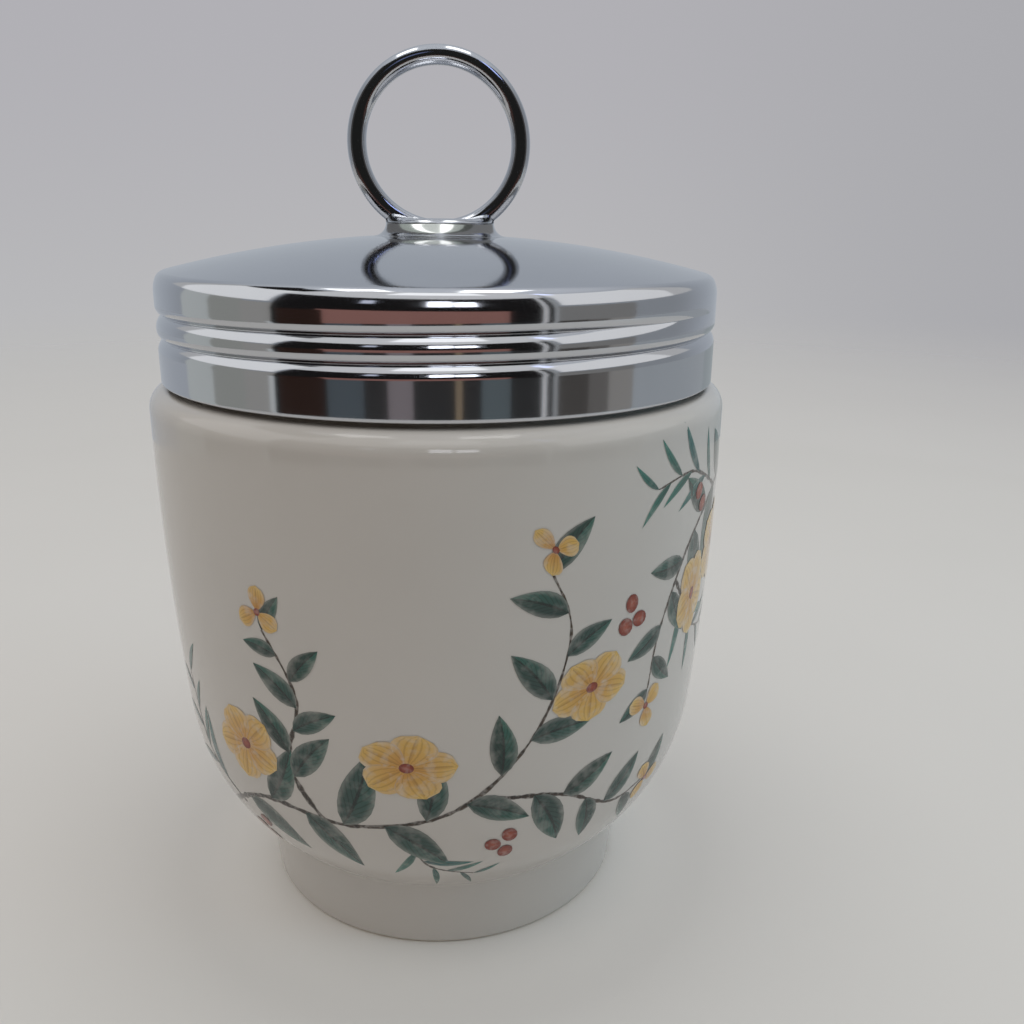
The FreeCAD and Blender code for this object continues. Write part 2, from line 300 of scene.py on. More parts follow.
def makeGlazedPorcelain():
    # Fired porcelain under a clear gloss glaze: a warm greyish white with a liquid shine and a
    # very slight orange peel. The ring that it stands on is wiped bare, so it looks dry and matt.
    look = {"glaze": "#D2CDC7", "glazeShade": "#CAC5BF", "bare": "#C9BFB0", "roughness": 0.07,
            "bareRoughness": 0.62, "cloudMm": 14, "waveMm": 2.6, "grainMm": 0.25, "bump": 0.10,
            "reliefMm": 0.03, "bareHeightMm": 0.28, "bareSoftMm": 0.13, "raggedMm": 1.5, "raggedRiseMm": 0.2}
    material, tree, shader = newMaterial("glazedPorcelain", {"IOR": 1.52})
    place = addNode(tree, "ShaderNodeTexCoord").node.outputs["Object"]
    noise = {}
    for name, detail in (("cloudMm", 2.0), ("raggedMm", 3.0), ("grainMm", 4.0), ("waveMm", 1.0)):
        noise[name] = addNode(tree, "ShaderNodeTexNoise",
                              inputs={"Vector": place, "Scale": 1 / (look[name] * mm), "Detail": detail})
    tint = addNode(tree, "ShaderNodeMix", {"data_type": "RGBA"},
                   [noise["cloudMm"], colour(look["glaze"]), colour(look["glazeShade"])])

    # The glaze ends in a ragged line just above the foot's flat.
    height = addNode(tree, "ShaderNodeSeparateXYZ", inputs=[place]).node.outputs["Z"]
    edge = addNode(tree, "ShaderNodeMath", {"operation": "MULTIPLY_ADD"},
                   [noise["raggedMm"], -look["raggedRiseMm"] * mm, height])
    bareTop = look["bareHeightMm"]
    bare = addNode(tree, "ShaderNodeMapRange",
                   inputs=[edge, (bareTop - look["bareSoftMm"]) * mm, bareTop * mm, 1.0, 0.0])
    tree.links.new(addNode(tree, "ShaderNodeMix", {"data_type": "RGBA"}, [bare, tint, colour(look["bare"])]),
                   shader.inputs["Base Color"])
    tree.links.new(addNode(tree, "ShaderNodeMix", {"data_type": "FLOAT"},
                           [bare, look["roughness"], look["bareRoughness"]]), shader.inputs["Roughness"])
    relief = addNode(tree, "ShaderNodeMix", {"data_type": "FLOAT"}, [bare, noise["waveMm"], noise["grainMm"]])
    bump = {"Strength": look["bump"], "Distance": look["reliefMm"] * mm, "Height": relief}
    tree.links.new(addNode(tree, "ShaderNodeBump", inputs=bump), shader.inputs["Normal"])
    return material


def makeChrome(name, look):
    # Bright nickel-chrome plate: a cool mirror, a little darker than silver, whose thin haze and
    # hairline wiping marks soften its reflections.
    s = {"hazeMm": 6, "reliefMm": 0.05}
    material, tree, shader = newMaterial(name, {"Metallic": 1.0})
    place = addNode(tree, "ShaderNodeTexCoord").node.outputs["Object"]
    hairScale = tuple(hairs / mm for hairs in look["hairsPerMm"])
    streaks = addNode(tree, "ShaderNodeMapping", inputs={"Vector": place, "Scale": hairScale})
    hair = addNode(tree, "ShaderNodeTexNoise", inputs={"Vector": streaks, "Scale": 1.0, "Detail": 3.0})
    haze = addNode(tree, "ShaderNodeTexNoise",
                   inputs={"Vector": place, "Scale": 1 / (s["hazeMm"] * mm), "Detail": 3.0})
    tree.links.new(addNode(tree, "ShaderNodeMix", {"data_type": "RGBA"},
                           [haze, colour(look["plate"]), colour(look["worn"])]), shader.inputs["Base Color"])
    rough = addNode(tree, "ShaderNodeMix", {"data_type": "FLOAT"}, [haze, look["smooth"], look["hazy"]])
    tree.links.new(rough, shader.inputs["Roughness"])
    wave = addNode(tree, "ShaderNodeTexNoise",
                   inputs={"Vector": place, "Scale": 1 / (look["waveMm"] * mm), "Detail": 1.0})
    both = addNode(tree, "ShaderNodeMix", {"data_type": "FLOAT"}, [look["hairShare"], wave, hair])
    bump = {"Strength": look["bump"], "Distance": s["reliefMm"] * mm, "Height": both}
    tree.links.new(addNode(tree, "ShaderNodeBump", inputs=bump), shader.inputs["Normal"])
    return material


def makeInk(name, look):
    # Ceramic transfer colour fired under the glaze: it keeps the glaze's shine, and its washes and
    # fine drawn lines fade into the white. place holds (along, across, tone) of each motif, and
    # the spans say where on it, or at what noise, each change starts and ends.
    spans = {"halfTurn": (-0.12, 0.12), "vein": (0.35, 1.0), "rib": (0.05, 0.14), "rim": (0.55, 1.0),
             "patch": (0.42, 0.72)}
    under = "#D6D0C9"  # the porcelain that shows through
    smooth = {"interpolation_type": "SMOOTHSTEP"}
    material, tree, shader = newMaterial(name, {"Roughness": 0.09, "IOR": 1.52})
    spot = addNode(tree, "ShaderNodeAttribute", {"attribute_name": "place"}).node.outputs["Vector"]
    parts = addNode(tree, "ShaderNodeSeparateXYZ", inputs=[spot]).node.outputs
    where = addNode(tree, "ShaderNodeTexCoord").node.outputs["Object"]
    wash = addNode(tree, "ShaderNodeTexNoise",
                   inputs={"Vector": where, "Scale": 1 / (look["washMm"] * mm), "Detail": 3.0})
    body = addNode(tree, "ShaderNodeMix", {"data_type": "RGBA"},
                   [parts["X"], colour(look["root"]), colour(look["tip"])])
    shade = addNode(tree, "ShaderNodeMapRange", smooth,
                    [parts["Y"], *spans["halfTurn"], 0.0, look["halfShade"]])
    halved = addNode(tree, "ShaderNodeMix", {"data_type": "RGBA"}, [shade, body, colour(look["dark"])])
    toned = addNode(tree, "ShaderNodeMath", {"operation": "MULTIPLY", "use_clamp": True},
                    [parts["Z"], look["toneShare"]])
    varied = addNode(tree, "ShaderNodeMix", {"data_type": "RGBA"}, [toned, halved, colour(look["other"])])

    # Lines slant from the midrib to the edge, as side veins or petal streaks do.
    across = addNode(tree, "ShaderNodeMath", {"operation": "ABSOLUTE"}, [parts["Y"]])
    slant = addNode(tree, "ShaderNodeMath", {"operation": "MULTIPLY_ADD"}, [across, -look["slant"], parts["X"]])
    phase = addNode(tree, "ShaderNodeMath", {"operation": "MULTIPLY_ADD"},
                    [slant, look["veins"] * math.tau, wash])
    spread = addNode(tree, "ShaderNodeMath", {"operation": "MULTIPLY"},
                     [parts["Y"], look["streaks"] * math.tau])
    crossed = addNode(tree, "ShaderNodeMath", {"operation": "ADD"}, [phase, spread])
    ripple = addNode(tree, "ShaderNodeMath", {"operation": "SINE"}, [crossed])
    vein = addNode(tree, "ShaderNodeMapRange", smooth, [ripple, *spans["vein"], 0.0, look["veinShare"]])
    lined = addNode(tree, "ShaderNodeMix", {"data_type": "RGBA"}, [vein, varied, colour(look["line"])])
    rib = addNode(tree, "ShaderNodeMapRange", smooth, [across, *spans["rib"], look["ribShare"], 0.0])
    ribbed = addNode(tree, "ShaderNodeMix", {"data_type": "RGBA"}, [rib, lined, colour(look["line"])])

    # The wash thins towards the outline and in patches, where the porcelain shows through.
    rim = addNode(tree, "ShaderNodeMapRange", smooth, [across, *spans["rim"], 0.0, look["edgeFade"]])
    thin = addNode(tree, "ShaderNodeMapRange", smooth, [wash, *spans["patch"], 0.0, look["patchFade"]])
    fade = addNode(tree, "ShaderNodeMath", {"operation": "ADD", "use_clamp": True}, [rim, thin])
    tree.links.new(addNode(tree, "ShaderNodeMix", {"data_type": "RGBA"}, [fade, ribbed, colour(under)]),
                   shader.inputs["Base Color"])
    return material


# Wiping and turning marks are drawn coarser than real ones, so that they show.
chromeSheetLook = {"plate": "#C9CBD0", "worn": "#C2C4C8", "smooth": 0.07, "hazy": 0.11,
                   "hairsPerMm": (1.5, 1.5, 0.09), "waveMm": 5.0, "hairShare": 0.25, "bump": 0.06}
chromeWireLook = {"plate": "#C6C8CC", "worn": "#BFC1C6", "smooth": 0.07, "hazy": 0.12,
                  "hairsPerMm": (0.9, 0.9, 0.9), "waveMm": 2.0, "hairShare": 0.2, "bump": 0.08}
chromeTurningLook = {"plate": "#C9CBCF", "worn": "#C1C3C7", "smooth": 0.12, "hazy": 0.20,
                     "hairsPerMm": (0.06, 0.06, 9.0), "waveMm": 1.6, "hairShare": 0.5, "bump": 0.10}
washerLook = {"plate": "#B9B9B6", "worn": "#A3A29C", "smooth": 0.22, "hazy": 0.38,
              "hairsPerMm": (2.5, 2.5, 2.5), "waveMm": 0.8, "hairShare": 0.4, "bump": 0.2}
leafLook = {"root": "#16302B", "tip": "#2F6B5C", "dark": "#14241F", "other": "#3C5A55", "line": "#101A18",
            "halfShade": 0.7, "toneShare": 0.6, "slant": 0.34, "veins": 9.0, "streaks": 0.0, "veinShare": 0.45,
            "ribShare": 0.8, "edgeFade": 0.22, "patchFade": 0.18, "washMm": 1.3}
bladeLook = {**leafLook, "root": "#1D4A40", "tip": "#3E8A78", "dark": "#24554A", "other": "#2C5A66",
             "halfShade": 0.3, "veins": 0.0, "streaks": 1.5, "veinShare": 0.3, "ribShare": 0.3, "edgeFade": 0.2,
             "patchFade": 0.2}
petalLook = {"root": "#B7702A", "tip": "#E4C374", "dark": "#C99A48", "other": "#DDB35C", "line": "#8A5A26",
             "halfShade": 0.3, "toneShare": 0.6, "slant": 0.0, "veins": 0.0, "streaks": 3.0, "veinShare": 0.30,
             "ribShare": 0.25, "edgeFade": 0.25, "patchFade": 0.35, "washMm": 0.9}
berryLook = {"root": "#B5583A", "tip": "#6E2418", "dark": "#8A3322", "other": "#7A2C1F", "line": "#3A1510",
             "halfShade": 0.35, "toneShare": 0.5, "slant": 0.0, "veins": 0.0, "streaks": 0.0, "veinShare": 0.0,
             "ribShare": 0.0, "edgeFade": 0.0, "patchFade": 0.25, "washMm": 0.6}
twigLook = {"root": "#2A211C", "tip": "#4A3A2C", "dark": "#1C1714", "other": "#5A4734", "line": "#120E0C",
            "halfShade": 0.5, "toneShare": 0.2, "slant": 0.0, "veins": 55.0, "streaks": 0.0, "veinShare": 0.6,
            "ribShare": 0.0, "edgeFade": 0.3, "patchFade": 0.35, "washMm": 0.5}

glazedPorcelain = makeGlazedPorcelain()
chromedSheet = makeChrome("chromedSheet", chromeSheetLook)
chromedWire = makeChrome("chromedWire", chromeWireLook)
chromedTurning = makeChrome("chromedTurning", chromeTurningLook)
platedWasher = makeChrome("platedWasher", washerLook)
leafInk = makeInk("leafInk", leafLook)
bladeInk = makeInk("bladeInk", bladeLook)
petalInk = makeInk("petalInk", petalLook)
berryInk = makeInk("berryInk", berryLook)
twigInk = makeInk("twigInk", twigLook)
print("materials made")


# Shared sizes of the lid's dome, in mm

lidSize = {"skirtRadius": 27.5, "rimRadius": 27.47, "sheet": 0.45, "edgeHeight": 55.38, "edgeRound": 0.15,
           "domeRadius": 105.5, "domeTop": 68.9, "rimBulge": 3.0, "rimTurn": 25.0, "rimFillet": 1.0,
           "grooveFront": 59.85, "grooveClear": 1.0, "ribFront": 60.1, "studHole": 1.65, "columns": 360}
domeCentre = lidSize["domeTop"] - lidSize["domeRadius"]


def domeHeight(radius, offset=0.0):
    # The height of the dome, or of a skin at an offset below it, at a radius.
    return domeCentre + math.sqrt((lidSize["domeRadius"] - offset) ** 2 - radius ** 2)


def domeDeg(radius, offset=0.0):
    # The same place as an angle on the dome's arc, from level.
    return math.degrees(math.acos(radius / (lidSize["domeRadius"] - offset)))


shellTree = makeShellTree()


# Cup

cupSize = {"bodyRadius": 28.8, "sideBow": 310.0, "bellyRadius": 22.7, "bellyHeight": 22.2,
           "uprightHeight": 50.0, "shoulderHeight": 54.9, "shoulderRadius": 2.0, "neckRadius": 26.05,
           "neckRoot": 0.4, "neckWall": 2.6, "seatGap": 0.35, "footRadius": 19.66, "footFlare": 0.64,
           "footWidth": 2.9, "footRound": 0.6, "footFillet": 0.9, "recessDepth": 4.6, "recessDraft": 0.7,
           "recessHub": 3, "wall": 3.2, "floorHeight": 8.2, "innerTurn": 16.5, "boreLength": 6.5,
           "taperLength": 7.0, "taperSteps": 12, "columns": 288}
cupRidge = {"pitch": threadPitch, "rowsPerPitch": 16, "crowding": 1.0, "frontHeight": 61.2, "depth": -0.6,
            "upperFlank": 0.6, "lowerFlank": 0.6, "crest": 1.33, "flankBow": 1.0, "beforeFront": 110.0,
            "pastFront": 340.0, "fade": 30.0}


def makeCup():
    s = cupSize
    recess = s["footRadius"] - s["footWidth"]
    innerRound = arcPoints((recess + s["footRound"], s["footRound"]), s["footRound"], 180, 270, 6)
    outerRound = arcPoints((s["footRadius"] - s["footRound"], s["footRound"]), s["footRound"], 270, 360, 6)
    sideCentre = (s["bodyRadius"] - s["sideBow"], s["uprightHeight"])
    sideDeg = -math.degrees(math.asin((s["uprightHeight"] - s["bellyHeight"]) / s["sideBow"]))
    side = arcPoints(sideCentre, s["sideBow"], sideDeg, 0, 34)
    share = s["bellyRadius"] / s["sideBow"]
    bellyCentre = tuple(a + (c - a) * share for a, c in zip(side[0], sideCentre))
    footTop = s["footRadius"] + s["footFlare"]
    footDeg = -math.degrees(math.acos((footTop - bellyCentre[0]) / s["bellyRadius"]))
    belly = arcPoints(bellyCentre, s["bellyRadius"], footDeg, sideDeg, 34)

    # Rows close to the recess's corner keep it crisp.
    ceiling, edge = s["recessDepth"], recess - s["recessDraft"]
    crisp = {"inside": 0.2, "outside": 0.05, "below": 0.3}  # mm from the corner
    recessTop = chain([(0, ceiling)], straight((s["recessHub"], ceiling), (edge - crisp["inside"], ceiling), 8),
                      [(edge, ceiling), (edge + crisp["outside"], ceiling - crisp["below"])])

    # The hollow round between the foot and the belly touches the foot's line and the belly's arc.
    corner = Vector(belly[0])
    down = (Vector(outerRound[-1]) - corner).normalized()
    out = Vector((-math.sin(math.radians(footDeg)), math.cos(math.radians(footDeg))))
    reach = s["footFillet"] / math.tan(down.angle(out) / 2)
    start, end = corner + down * reach, corner + out * reach
    middle = corner + (down + out).normalized() * (s["footFillet"] / math.sin(down.angle(out) / 2))
    first = math.degrees(math.atan2(*(start - middle).yx))
    last = math.degrees(math.atan2(*(end - middle).yx))
    turn = (last - first + 180) % 360 - 180
    hollow = arcPoints(middle, s["footFillet"], first, first + turn, 8)
    clear = 0.1  # mm between the hollow's end and the belly's first point
    belly = [p for p in belly if p[1] > end.y + clear]

    shoulderCentre = (s["bodyRadius"] - s["shoulderRadius"], s["shoulderHeight"] - s["shoulderRadius"])
    shoulder = arcPoints(shoulderCentre, s["shoulderRadius"], 0, 90, 12)
    rootCentre = (s["neckRadius"] + s["neckRoot"], s["shoulderHeight"] + s["neckRoot"])
    root = arcPoints(rootCentre, s["neckRoot"], 270, 180, 6)
    lipRound = s["neckWall"] / 2
    lipTop = domeHeight(s["neckRadius"] - lipRound, lidSize["sheet"]) - s["seatGap"]
    lip = arcPoints((s["neckRadius"] - lipRound, lipTop - lipRound), lipRound, 0, 180, 16)
    neck = straight(root[-1], lip[0], 10)

    # Inside, the bore widens below the neck to the side's own bow and rounds into the floor.
    bore = lip[-1][0]
    taperTop = lip[-1][1] - s["boreLength"]
    taperLow = taperTop - s["taperLength"]
    innerBow = s["sideBow"] - s["wall"]
    topDeg = -math.degrees(math.asin((s["uprightHeight"] - taperLow) / innerBow))
    turnHeight = s["floorHeight"] + s["innerTurn"]
    lowDeg = -math.degrees(math.asin((s["uprightHeight"] - turnHeight) / (innerBow - s["innerTurn"])))
    innerSide = arcPoints(sideCentre, innerBow, topDeg, lowDeg, 20)
    turnShare = s["innerTurn"] / innerBow
    turnCentre = tuple(a + (c - a) * turnShare for a, c in zip(innerSide[-1], sideCentre))
    innerTurn = arcPoints(turnCentre, s["innerTurn"], lowDeg, -90, 26)
    taper = []
    for i in range(s["taperSteps"] + 1):
        t = i / s["taperSteps"]
        ease = t * t * (3 - 2 * t)
        taper.append((bore + (innerSide[0][0] - bore) * ease, taperTop - s["taperLength"] * t))

    outline = chain(recessTop, innerRound, outerRound, straight(outerRound[-1], start, 5)[:-1], hollow, belly,
                    side, straight(side[-1], shoulder[0], 4), shoulder, root, neck, lip,
                    straight(lip[-1], (bore, taperTop), 4), taper, innerSide, innerTurn,
                    straight(innerTurn[-1], (0, s["floorHeight"]), 5))
    onNeck = next(i for i, p in enumerate(outline) if p[1] > s["shoulderHeight"] + s["neckRoot"])
    ridge = {**cupRidge, "front": lengthAt(outline, cupRidge["frontHeight"], onNeck)}
    return turnedShell("porcelainCup", outline, s["columns"], glazedPorcelain, ridge)


cup = makeCup()
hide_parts("porcelain_cup")
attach(cup, "cup")
print("cup made", len(cup.data.polygons))


# Lid shell: pressed sheet with the thread rolled into its side

lidGroove = {"pitch": threadPitch, "rowsPerPitch": 24, "crowding": 1.35, "depth": 0.52, "upperFlank": 0.85,
             "lowerFlank": 1.15, "crest": 1.0, "flankBow": 2.1, "beforeFront": 170.0, "pastFront": 430.0,
             "fade": 55.0}
lidRib = {**lidGroove, "rowsPerPitch": 12, "crowding": 1.0, "depth": 0.65, "upperFlank": 0.76,
          "lowerFlank": 0.76, "crest": 1.58, "flankBow": 1.0}


def makeLid():
    s = lidSize
    skirt, rim, sheet, edge = s["skirtRadius"], s["rimRadius"], s["sheet"], s["edgeRound"]
    dome, hole = s["domeRadius"], s["studHole"]

    # The rim bulges gently, then turns tightly into the dome.
    gentle, tight, rimTurn = s["rimBulge"], s["rimFillet"], s["rimTurn"]
    filletRadius = rim - gentle + (gentle - tight) * math.cos(math.radians(rimTurn))
    centre = (filletRadius, domeHeight(filletRadius, tight))
    bulge = (rim - gentle, centre[1] - (gentle - tight) * math.sin(math.radians(rimTurn)))
    topDeg = domeDeg(filletRadius, tight)
    inner, low, high = skirt - sheet, s["edgeHeight"], s["grooveFront"] - s["grooveClear"]
    edgeOut = arcPoints((skirt - edge, low + edge), edge, 270, 360, 5)
    edgeIn = arcPoints((inner + edge, low + edge), edge, 180, 270, 5)
    outside = chain([edgeIn[-1]], edgeOut, straight(edgeOut[-1], (skirt, high), 12),
                    straight((skirt, high), (rim, bulge[1]), 14), arcPoints(bulge, gentle, 0, rimTurn, 12),
                    arcPoints(centre, tight, rimTurn, topDeg, 12),
                    arcPoints((0, domeCentre), dome, topDeg, domeDeg(hole), 46),
                    [(hole, domeHeight(hole, sheet))])
    inside = chain(list(reversed(edgeIn)), straight(edgeIn[0], (inner, high), 8),
                   straight((inner, high), (rim - sheet, bulge[1]), 8),
                   arcPoints(bulge, gentle - sheet, 0, rimTurn, 8),
                   arcPoints(centre, tight - sheet, rimTurn, topDeg, 6),
                   arcPoints((0, domeCentre), dome - sheet, topDeg, domeDeg(hole, sheet), 26))
    groove = {**lidGroove, "front": lengthAt(outside, s["grooveFront"])}
    rib = {**lidRib, "front": lengthAt(inside, s["ribFront"])}
    outer = turnedShell("lidOutside", outside, s["columns"], chromedSheet, groove)
    under = turnedShell("lidInside", inside, s["columns"], chromedSheet, rib)
    under.data.flip_normals()
    return joined("lidShell", [outer, under], weld=0.003 * mm)


lid = makeLid()
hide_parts("lid_shell")
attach(lid, "lid")
print("lid made", len(lid.data.polygons))


# Collar, stud and washer

washerSize = {"bore": 1.68, "radius": 4.6, "thick": 0.6, "gap": 0.08, "round": 0.15, "chamfer": 0.05,
              "flatFrom": 1.9, "flatTo": 4.4, "columns": 96}
washerFoot = domeHeight(washerSize["radius"], lidSize["sheet"]) - washerSize["gap"] - washerSize["thick"]


def makeCollar():
    s = {"radius": 5.35, "height": 1.5, "flare": 1.3, "chamfer": 0.8, "columns": 192, "studRadius": 1.6,
         "headRadius": 2.8, "headHeight": 0.9, "soften": 0.05, "webRise": 0.85, "webWidth": 1.15,
         "webFrom": 2.4, "webRun": 2.6, "webSkin": 0.6, "webFade": 0.5}
    # Radius and height of the stud's peened end.
    headProfile = [(0, 0), (0.9, 0), (1.5, 0.03), (2.1, 0.18), (2.55, 0.45)]
    stud, soften = s["studRadius"], s["soften"]
    top = lidSize["domeTop"] + s["height"]
    headFoot = washerFoot - s["headHeight"]
    flareRadius = s["radius"] + s["flare"]
    flareCentre = (flareRadius, domeHeight(flareRadius, -s["flare"]))
    flareDeg = domeDeg(flareRadius, -s["flare"])
    aside = 0.02  # mm that the stud's last row and the flare's first keep from their corner
    outline = chain([(radius, headFoot + height) for radius, height in headProfile],
                    [(s["headRadius"], washerFoot - soften), (s["headRadius"], washerFoot)],
                    straight((stud + soften, washerFoot), (stud, washerFoot + soften), 1),
                    straight((stud, washerFoot + 2 * soften), (stud, domeHeight(stud) - aside), 3),
                    arcPoints((0, domeCentre), lidSize["domeRadius"], domeDeg(stud + aside), flareDeg, 12),
                    arcPoints(flareCentre, s["flare"], 180 + flareDeg, 180, 12),
                    straight((s["radius"], flareCentre[1]), (s["radius"], top - s["chamfer"]), 4),
                    arcPoints((s["radius"] - s["chamfer"], top - s["chamfer"]), s["chamfer"], 0, 90, 12),
                    straight((s["radius"] - s["chamfer"], top), (0, top), 24))
    made = turnedShell("finialCollar", outline, s["columns"], chromedTurning)

    # Braze metal climbs the wire on both sides.
    for vertex in made.data.vertices:
        x, y, z = (c / mm for c in vertex.co)
        if z > top - s["webSkin"]:
            lift = max(0.0, min(1.0, (abs(x) - s["webFrom"]) / s["webRun"]))
            lift = lift * lift * (3 - 2 * lift)
            near = math.exp(-(y / s["webWidth"]) ** 2)
            share = min(1.0, (z - top + s["webSkin"]) / s["webFade"])
            vertex.co.z += s["webRise"] * lift * near * share * mm
    return made


def makeWasher():
    s, foot, head = washerSize, washerFoot, washerFoot + washerSize["thick"]
    bore, chamfer, edge, rim = s["bore"], s["chamfer"], s["round"], s["radius"] - s["round"]
    outline = chain([(bore, foot + chamfer), (bore + chamfer, foot)],
                    straight((s["flatFrom"], foot), (s["flatTo"], foot), 3),
                    arcPoints((rim, foot + edge), edge, 270, 360, 4),
                    arcPoints((rim, head - edge), edge, 0, 90, 4),
                    straight((s["flatTo"], head), (s["flatFrom"], head), 3),
                    [(bore + chamfer, head), (bore, head - chamfer), (bore, foot + chamfer)])
    return turnedShell("backingWasher", outline, s["columns"], platedWasher)


collar = makeCollar()
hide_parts("finial_collar")
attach(collar, "lid")
washer = makeWasher()
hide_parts("backing_washer")
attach(washer, "screw_carrier")
print("collar and washer made")


# Wire ring

def makeRing():
    s = {"radius": 7.95, "wire": 0.925, "centre": 77.3, "flat": 69.15, "around": 192, "sides": 40}
    tree, given = newTree("wireRing", [
        ("Radius", "Float"), ("Wire", "Float"), ("Height", "Float"), ("Flat", "Float"), ("Around", "Int"),
        ("Sides", "Int"), ("Finish", "Material")])
    circle = addNode(tree, "GeometryNodeCurvePrimitiveCircle",
                     inputs={"Resolution": given["Around"], "Radius": given["Radius"]})
    wire = addNode(tree, "GeometryNodeCurvePrimitiveCircle",
                   inputs={"Resolution": given["Sides"], "Radius": given["Wire"]})
    swept = addNode(tree, "GeometryNodeCurveToMesh", inputs={"Curve": circle, "Profile Curve": wire})
    lift = addNode(tree, "ShaderNodeCombineXYZ", inputs=[0.0, 0.0, given["Height"]])
    stood = addNode(tree, "GeometryNodeTransform",
                    inputs={"Geometry": swept, "Translation": lift, "Rotation": (math.pi / 2, 0.0, 0.0)})

    # Its foot is flat where it meets the collar's braze.
    place = addNode(tree, "ShaderNodeSeparateXYZ",
                    inputs=[addNode(tree, "GeometryNodeInputPosition")]).node.outputs
    held = addNode(tree, "ShaderNodeMath", {"operation": "MAXIMUM"}, [place["Z"], given["Flat"]])
    spot = addNode(tree, "ShaderNodeCombineXYZ", inputs=[place["X"], place["Y"], held])
    seated = addNode(tree, "GeometryNodeSetPosition", inputs={"Geometry": stood, "Position": spot})
    endTree(tree, seated, given["Finish"])
    return grow("finialRing", tree, {
        "Radius": s["radius"] * mm, "Wire": s["wire"] * mm, "Height": s["centre"] * mm, "Flat": s["flat"] * mm,
        "Around": s["around"], "Sides": s["sides"], "Finish": chromedWire})


ring = makeRing()
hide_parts("finial_ring")
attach(ring, "lid")
print("ring made")


# Print: sprays of leaves, blossoms and berries, drawn flat and then wrapped on the cup.
# Flat places are (round, up) in mm: how far round from the front to the right, and the height.

# A leaf's bend is a share of its length, fullness rounds it and tipness moves its widest place.
leafShape = {"bend": 0.20, "fullness": 0.85, "tipness": 0.82}
petalShape = {"bend": 0.07, "fullness": 0.55, "tipness": 1.35}
# Each printed layer lies this many mm above the one before, too little to see, so none flickers.
layerMm = {"leaf": 0.0015, "petal": 0.001, "flower": 0.004, "heart": 0.008, "sprigs": 0.004, "nextSprig": 0.002,
           "berries": 0.025, "blossoms": 0.03, "glaze": 0.012}
sprigLook = {"stemPoints": 90, "tipWidth": 0.35, "knotsPerMm": 0.9, "knotSpan": (0.3, 0.7),
             "knotWidth": (0.6, 1.45), "wander": 0.22, "growth": (0.78, 1.12), "tipGrowth": 0.62,
             "twigTone": 0.3}
blossomLook = {"ringShare": 0.06, "largest": (1.12, 1.05, 1.0), "heartSides": 14, "heartAcross": 0.3,
               "heartTone": 0.2}


def leafTemplate(tree, length, width, shape, side=1.0):
    # A flat leaf or petal on a small grid, which keeps its place as (along, across).
    grid = addNode(tree, "GeometryNodeMeshGrid", inputs=[1.0, 1.0, 9, 5])
    place = addNode(tree, "ShaderNodeSeparateXYZ",
                    inputs=[addNode(tree, "GeometryNodeInputPosition")]).node.outputs
    along = addNode(tree, "ShaderNodeMath", {"operation": "ADD", "use_clamp": True}, [place["X"], 0.5])
    across = addNode(tree, "ShaderNodeMath", {"operation": "MULTIPLY"}, [place["Y"], 2.0])
    eased = addNode(tree, "ShaderNodeMath", {"operation": "POWER"}, [along, shape["tipness"]])
    halfTurn = addNode(tree, "ShaderNodeMath", {"operation": "MULTIPLY"}, [eased, math.pi])
    wave = addNode(tree, "ShaderNodeMath", {"operation": "SINE"}, [halfTurn])
    positive = addNode(tree, "ShaderNodeMath", {"operation": "MAXIMUM"}, [wave, 0.0])
    lobe = addNode(tree, "ShaderNodeMath", {"operation": "POWER"}, [positive, shape["fullness"]])
    half = addNode(tree, "ShaderNodeMath", {"operation": "MULTIPLY"}, [width, 0.5])
    reach = addNode(tree, "ShaderNodeMath", {"operation": "MULTIPLY"}, [lobe, half])
    out = addNode(tree, "ShaderNodeMath", {"operation": "MULTIPLY"}, [across, reach])
    squared = addNode(tree, "ShaderNodeMath", {"operation": "POWER"}, [along, 2.0])
    swing = addNode(tree, "ShaderNodeMath", {"operation": "MULTIPLY"}, [squared, shape["bend"] * side])
    curl = addNode(tree, "ShaderNodeMath", {"operation": "MULTIPLY_ADD"}, [swing, length, out])
    ahead = addNode(tree, "ShaderNodeMath", {"operation": "MULTIPLY"}, [along, length])
    kept = addNode(tree, "ShaderNodeCombineXYZ", inputs=[along, across, 0.0])
    marked = addNode(tree, "GeometryNodeStoreNamedAttribute", {"data_type": "FLOAT_VECTOR", "domain": "POINT"},
                     {"Geometry": grid, "Name": "place", "Value": kept})
    spot = addNode(tree, "ShaderNodeCombineXYZ", inputs=[ahead, curl, 0.0])
    return addNode(tree, "GeometryNodeSetPosition", inputs={"Geometry": marked, "Position": spot})


def markTone(tree, geometry, seed):
    # Gives each instance its own tone, kept as the third part of place once it is real.
    tone = addNode(tree, "FunctionNodeRandomValue", {"data_type": "FLOAT"},
                   {"Min": 0.0, "Max": 1.0, "Seed": seed})
    marked = addNode(tree, "GeometryNodeStoreNamedAttribute", {"data_type": "FLOAT", "domain": "INSTANCE"},
                     {"Geometry": geometry, "Name": "tone", "Value": tone})
    real = addNode(tree, "GeometryNodeRealizeInstances", inputs=[marked])
    place = addNode(tree, "GeometryNodeInputNamedAttribute", {"data_type": "FLOAT_VECTOR"}, ["place"])
    kept = addNode(tree, "ShaderNodeSeparateXYZ", inputs=[place]).node.outputs
    own = addNode(tree, "GeometryNodeInputNamedAttribute", {"data_type": "FLOAT"}, ["tone"])
    whole = addNode(tree, "ShaderNodeCombineXYZ", inputs=[kept["X"], kept["Y"], own])
    return addNode(tree, "GeometryNodeStoreNamedAttribute", {"data_type": "FLOAT_VECTOR", "domain": "POINT"},
                   {"Geometry": real, "Name": "place", "Value": whole})


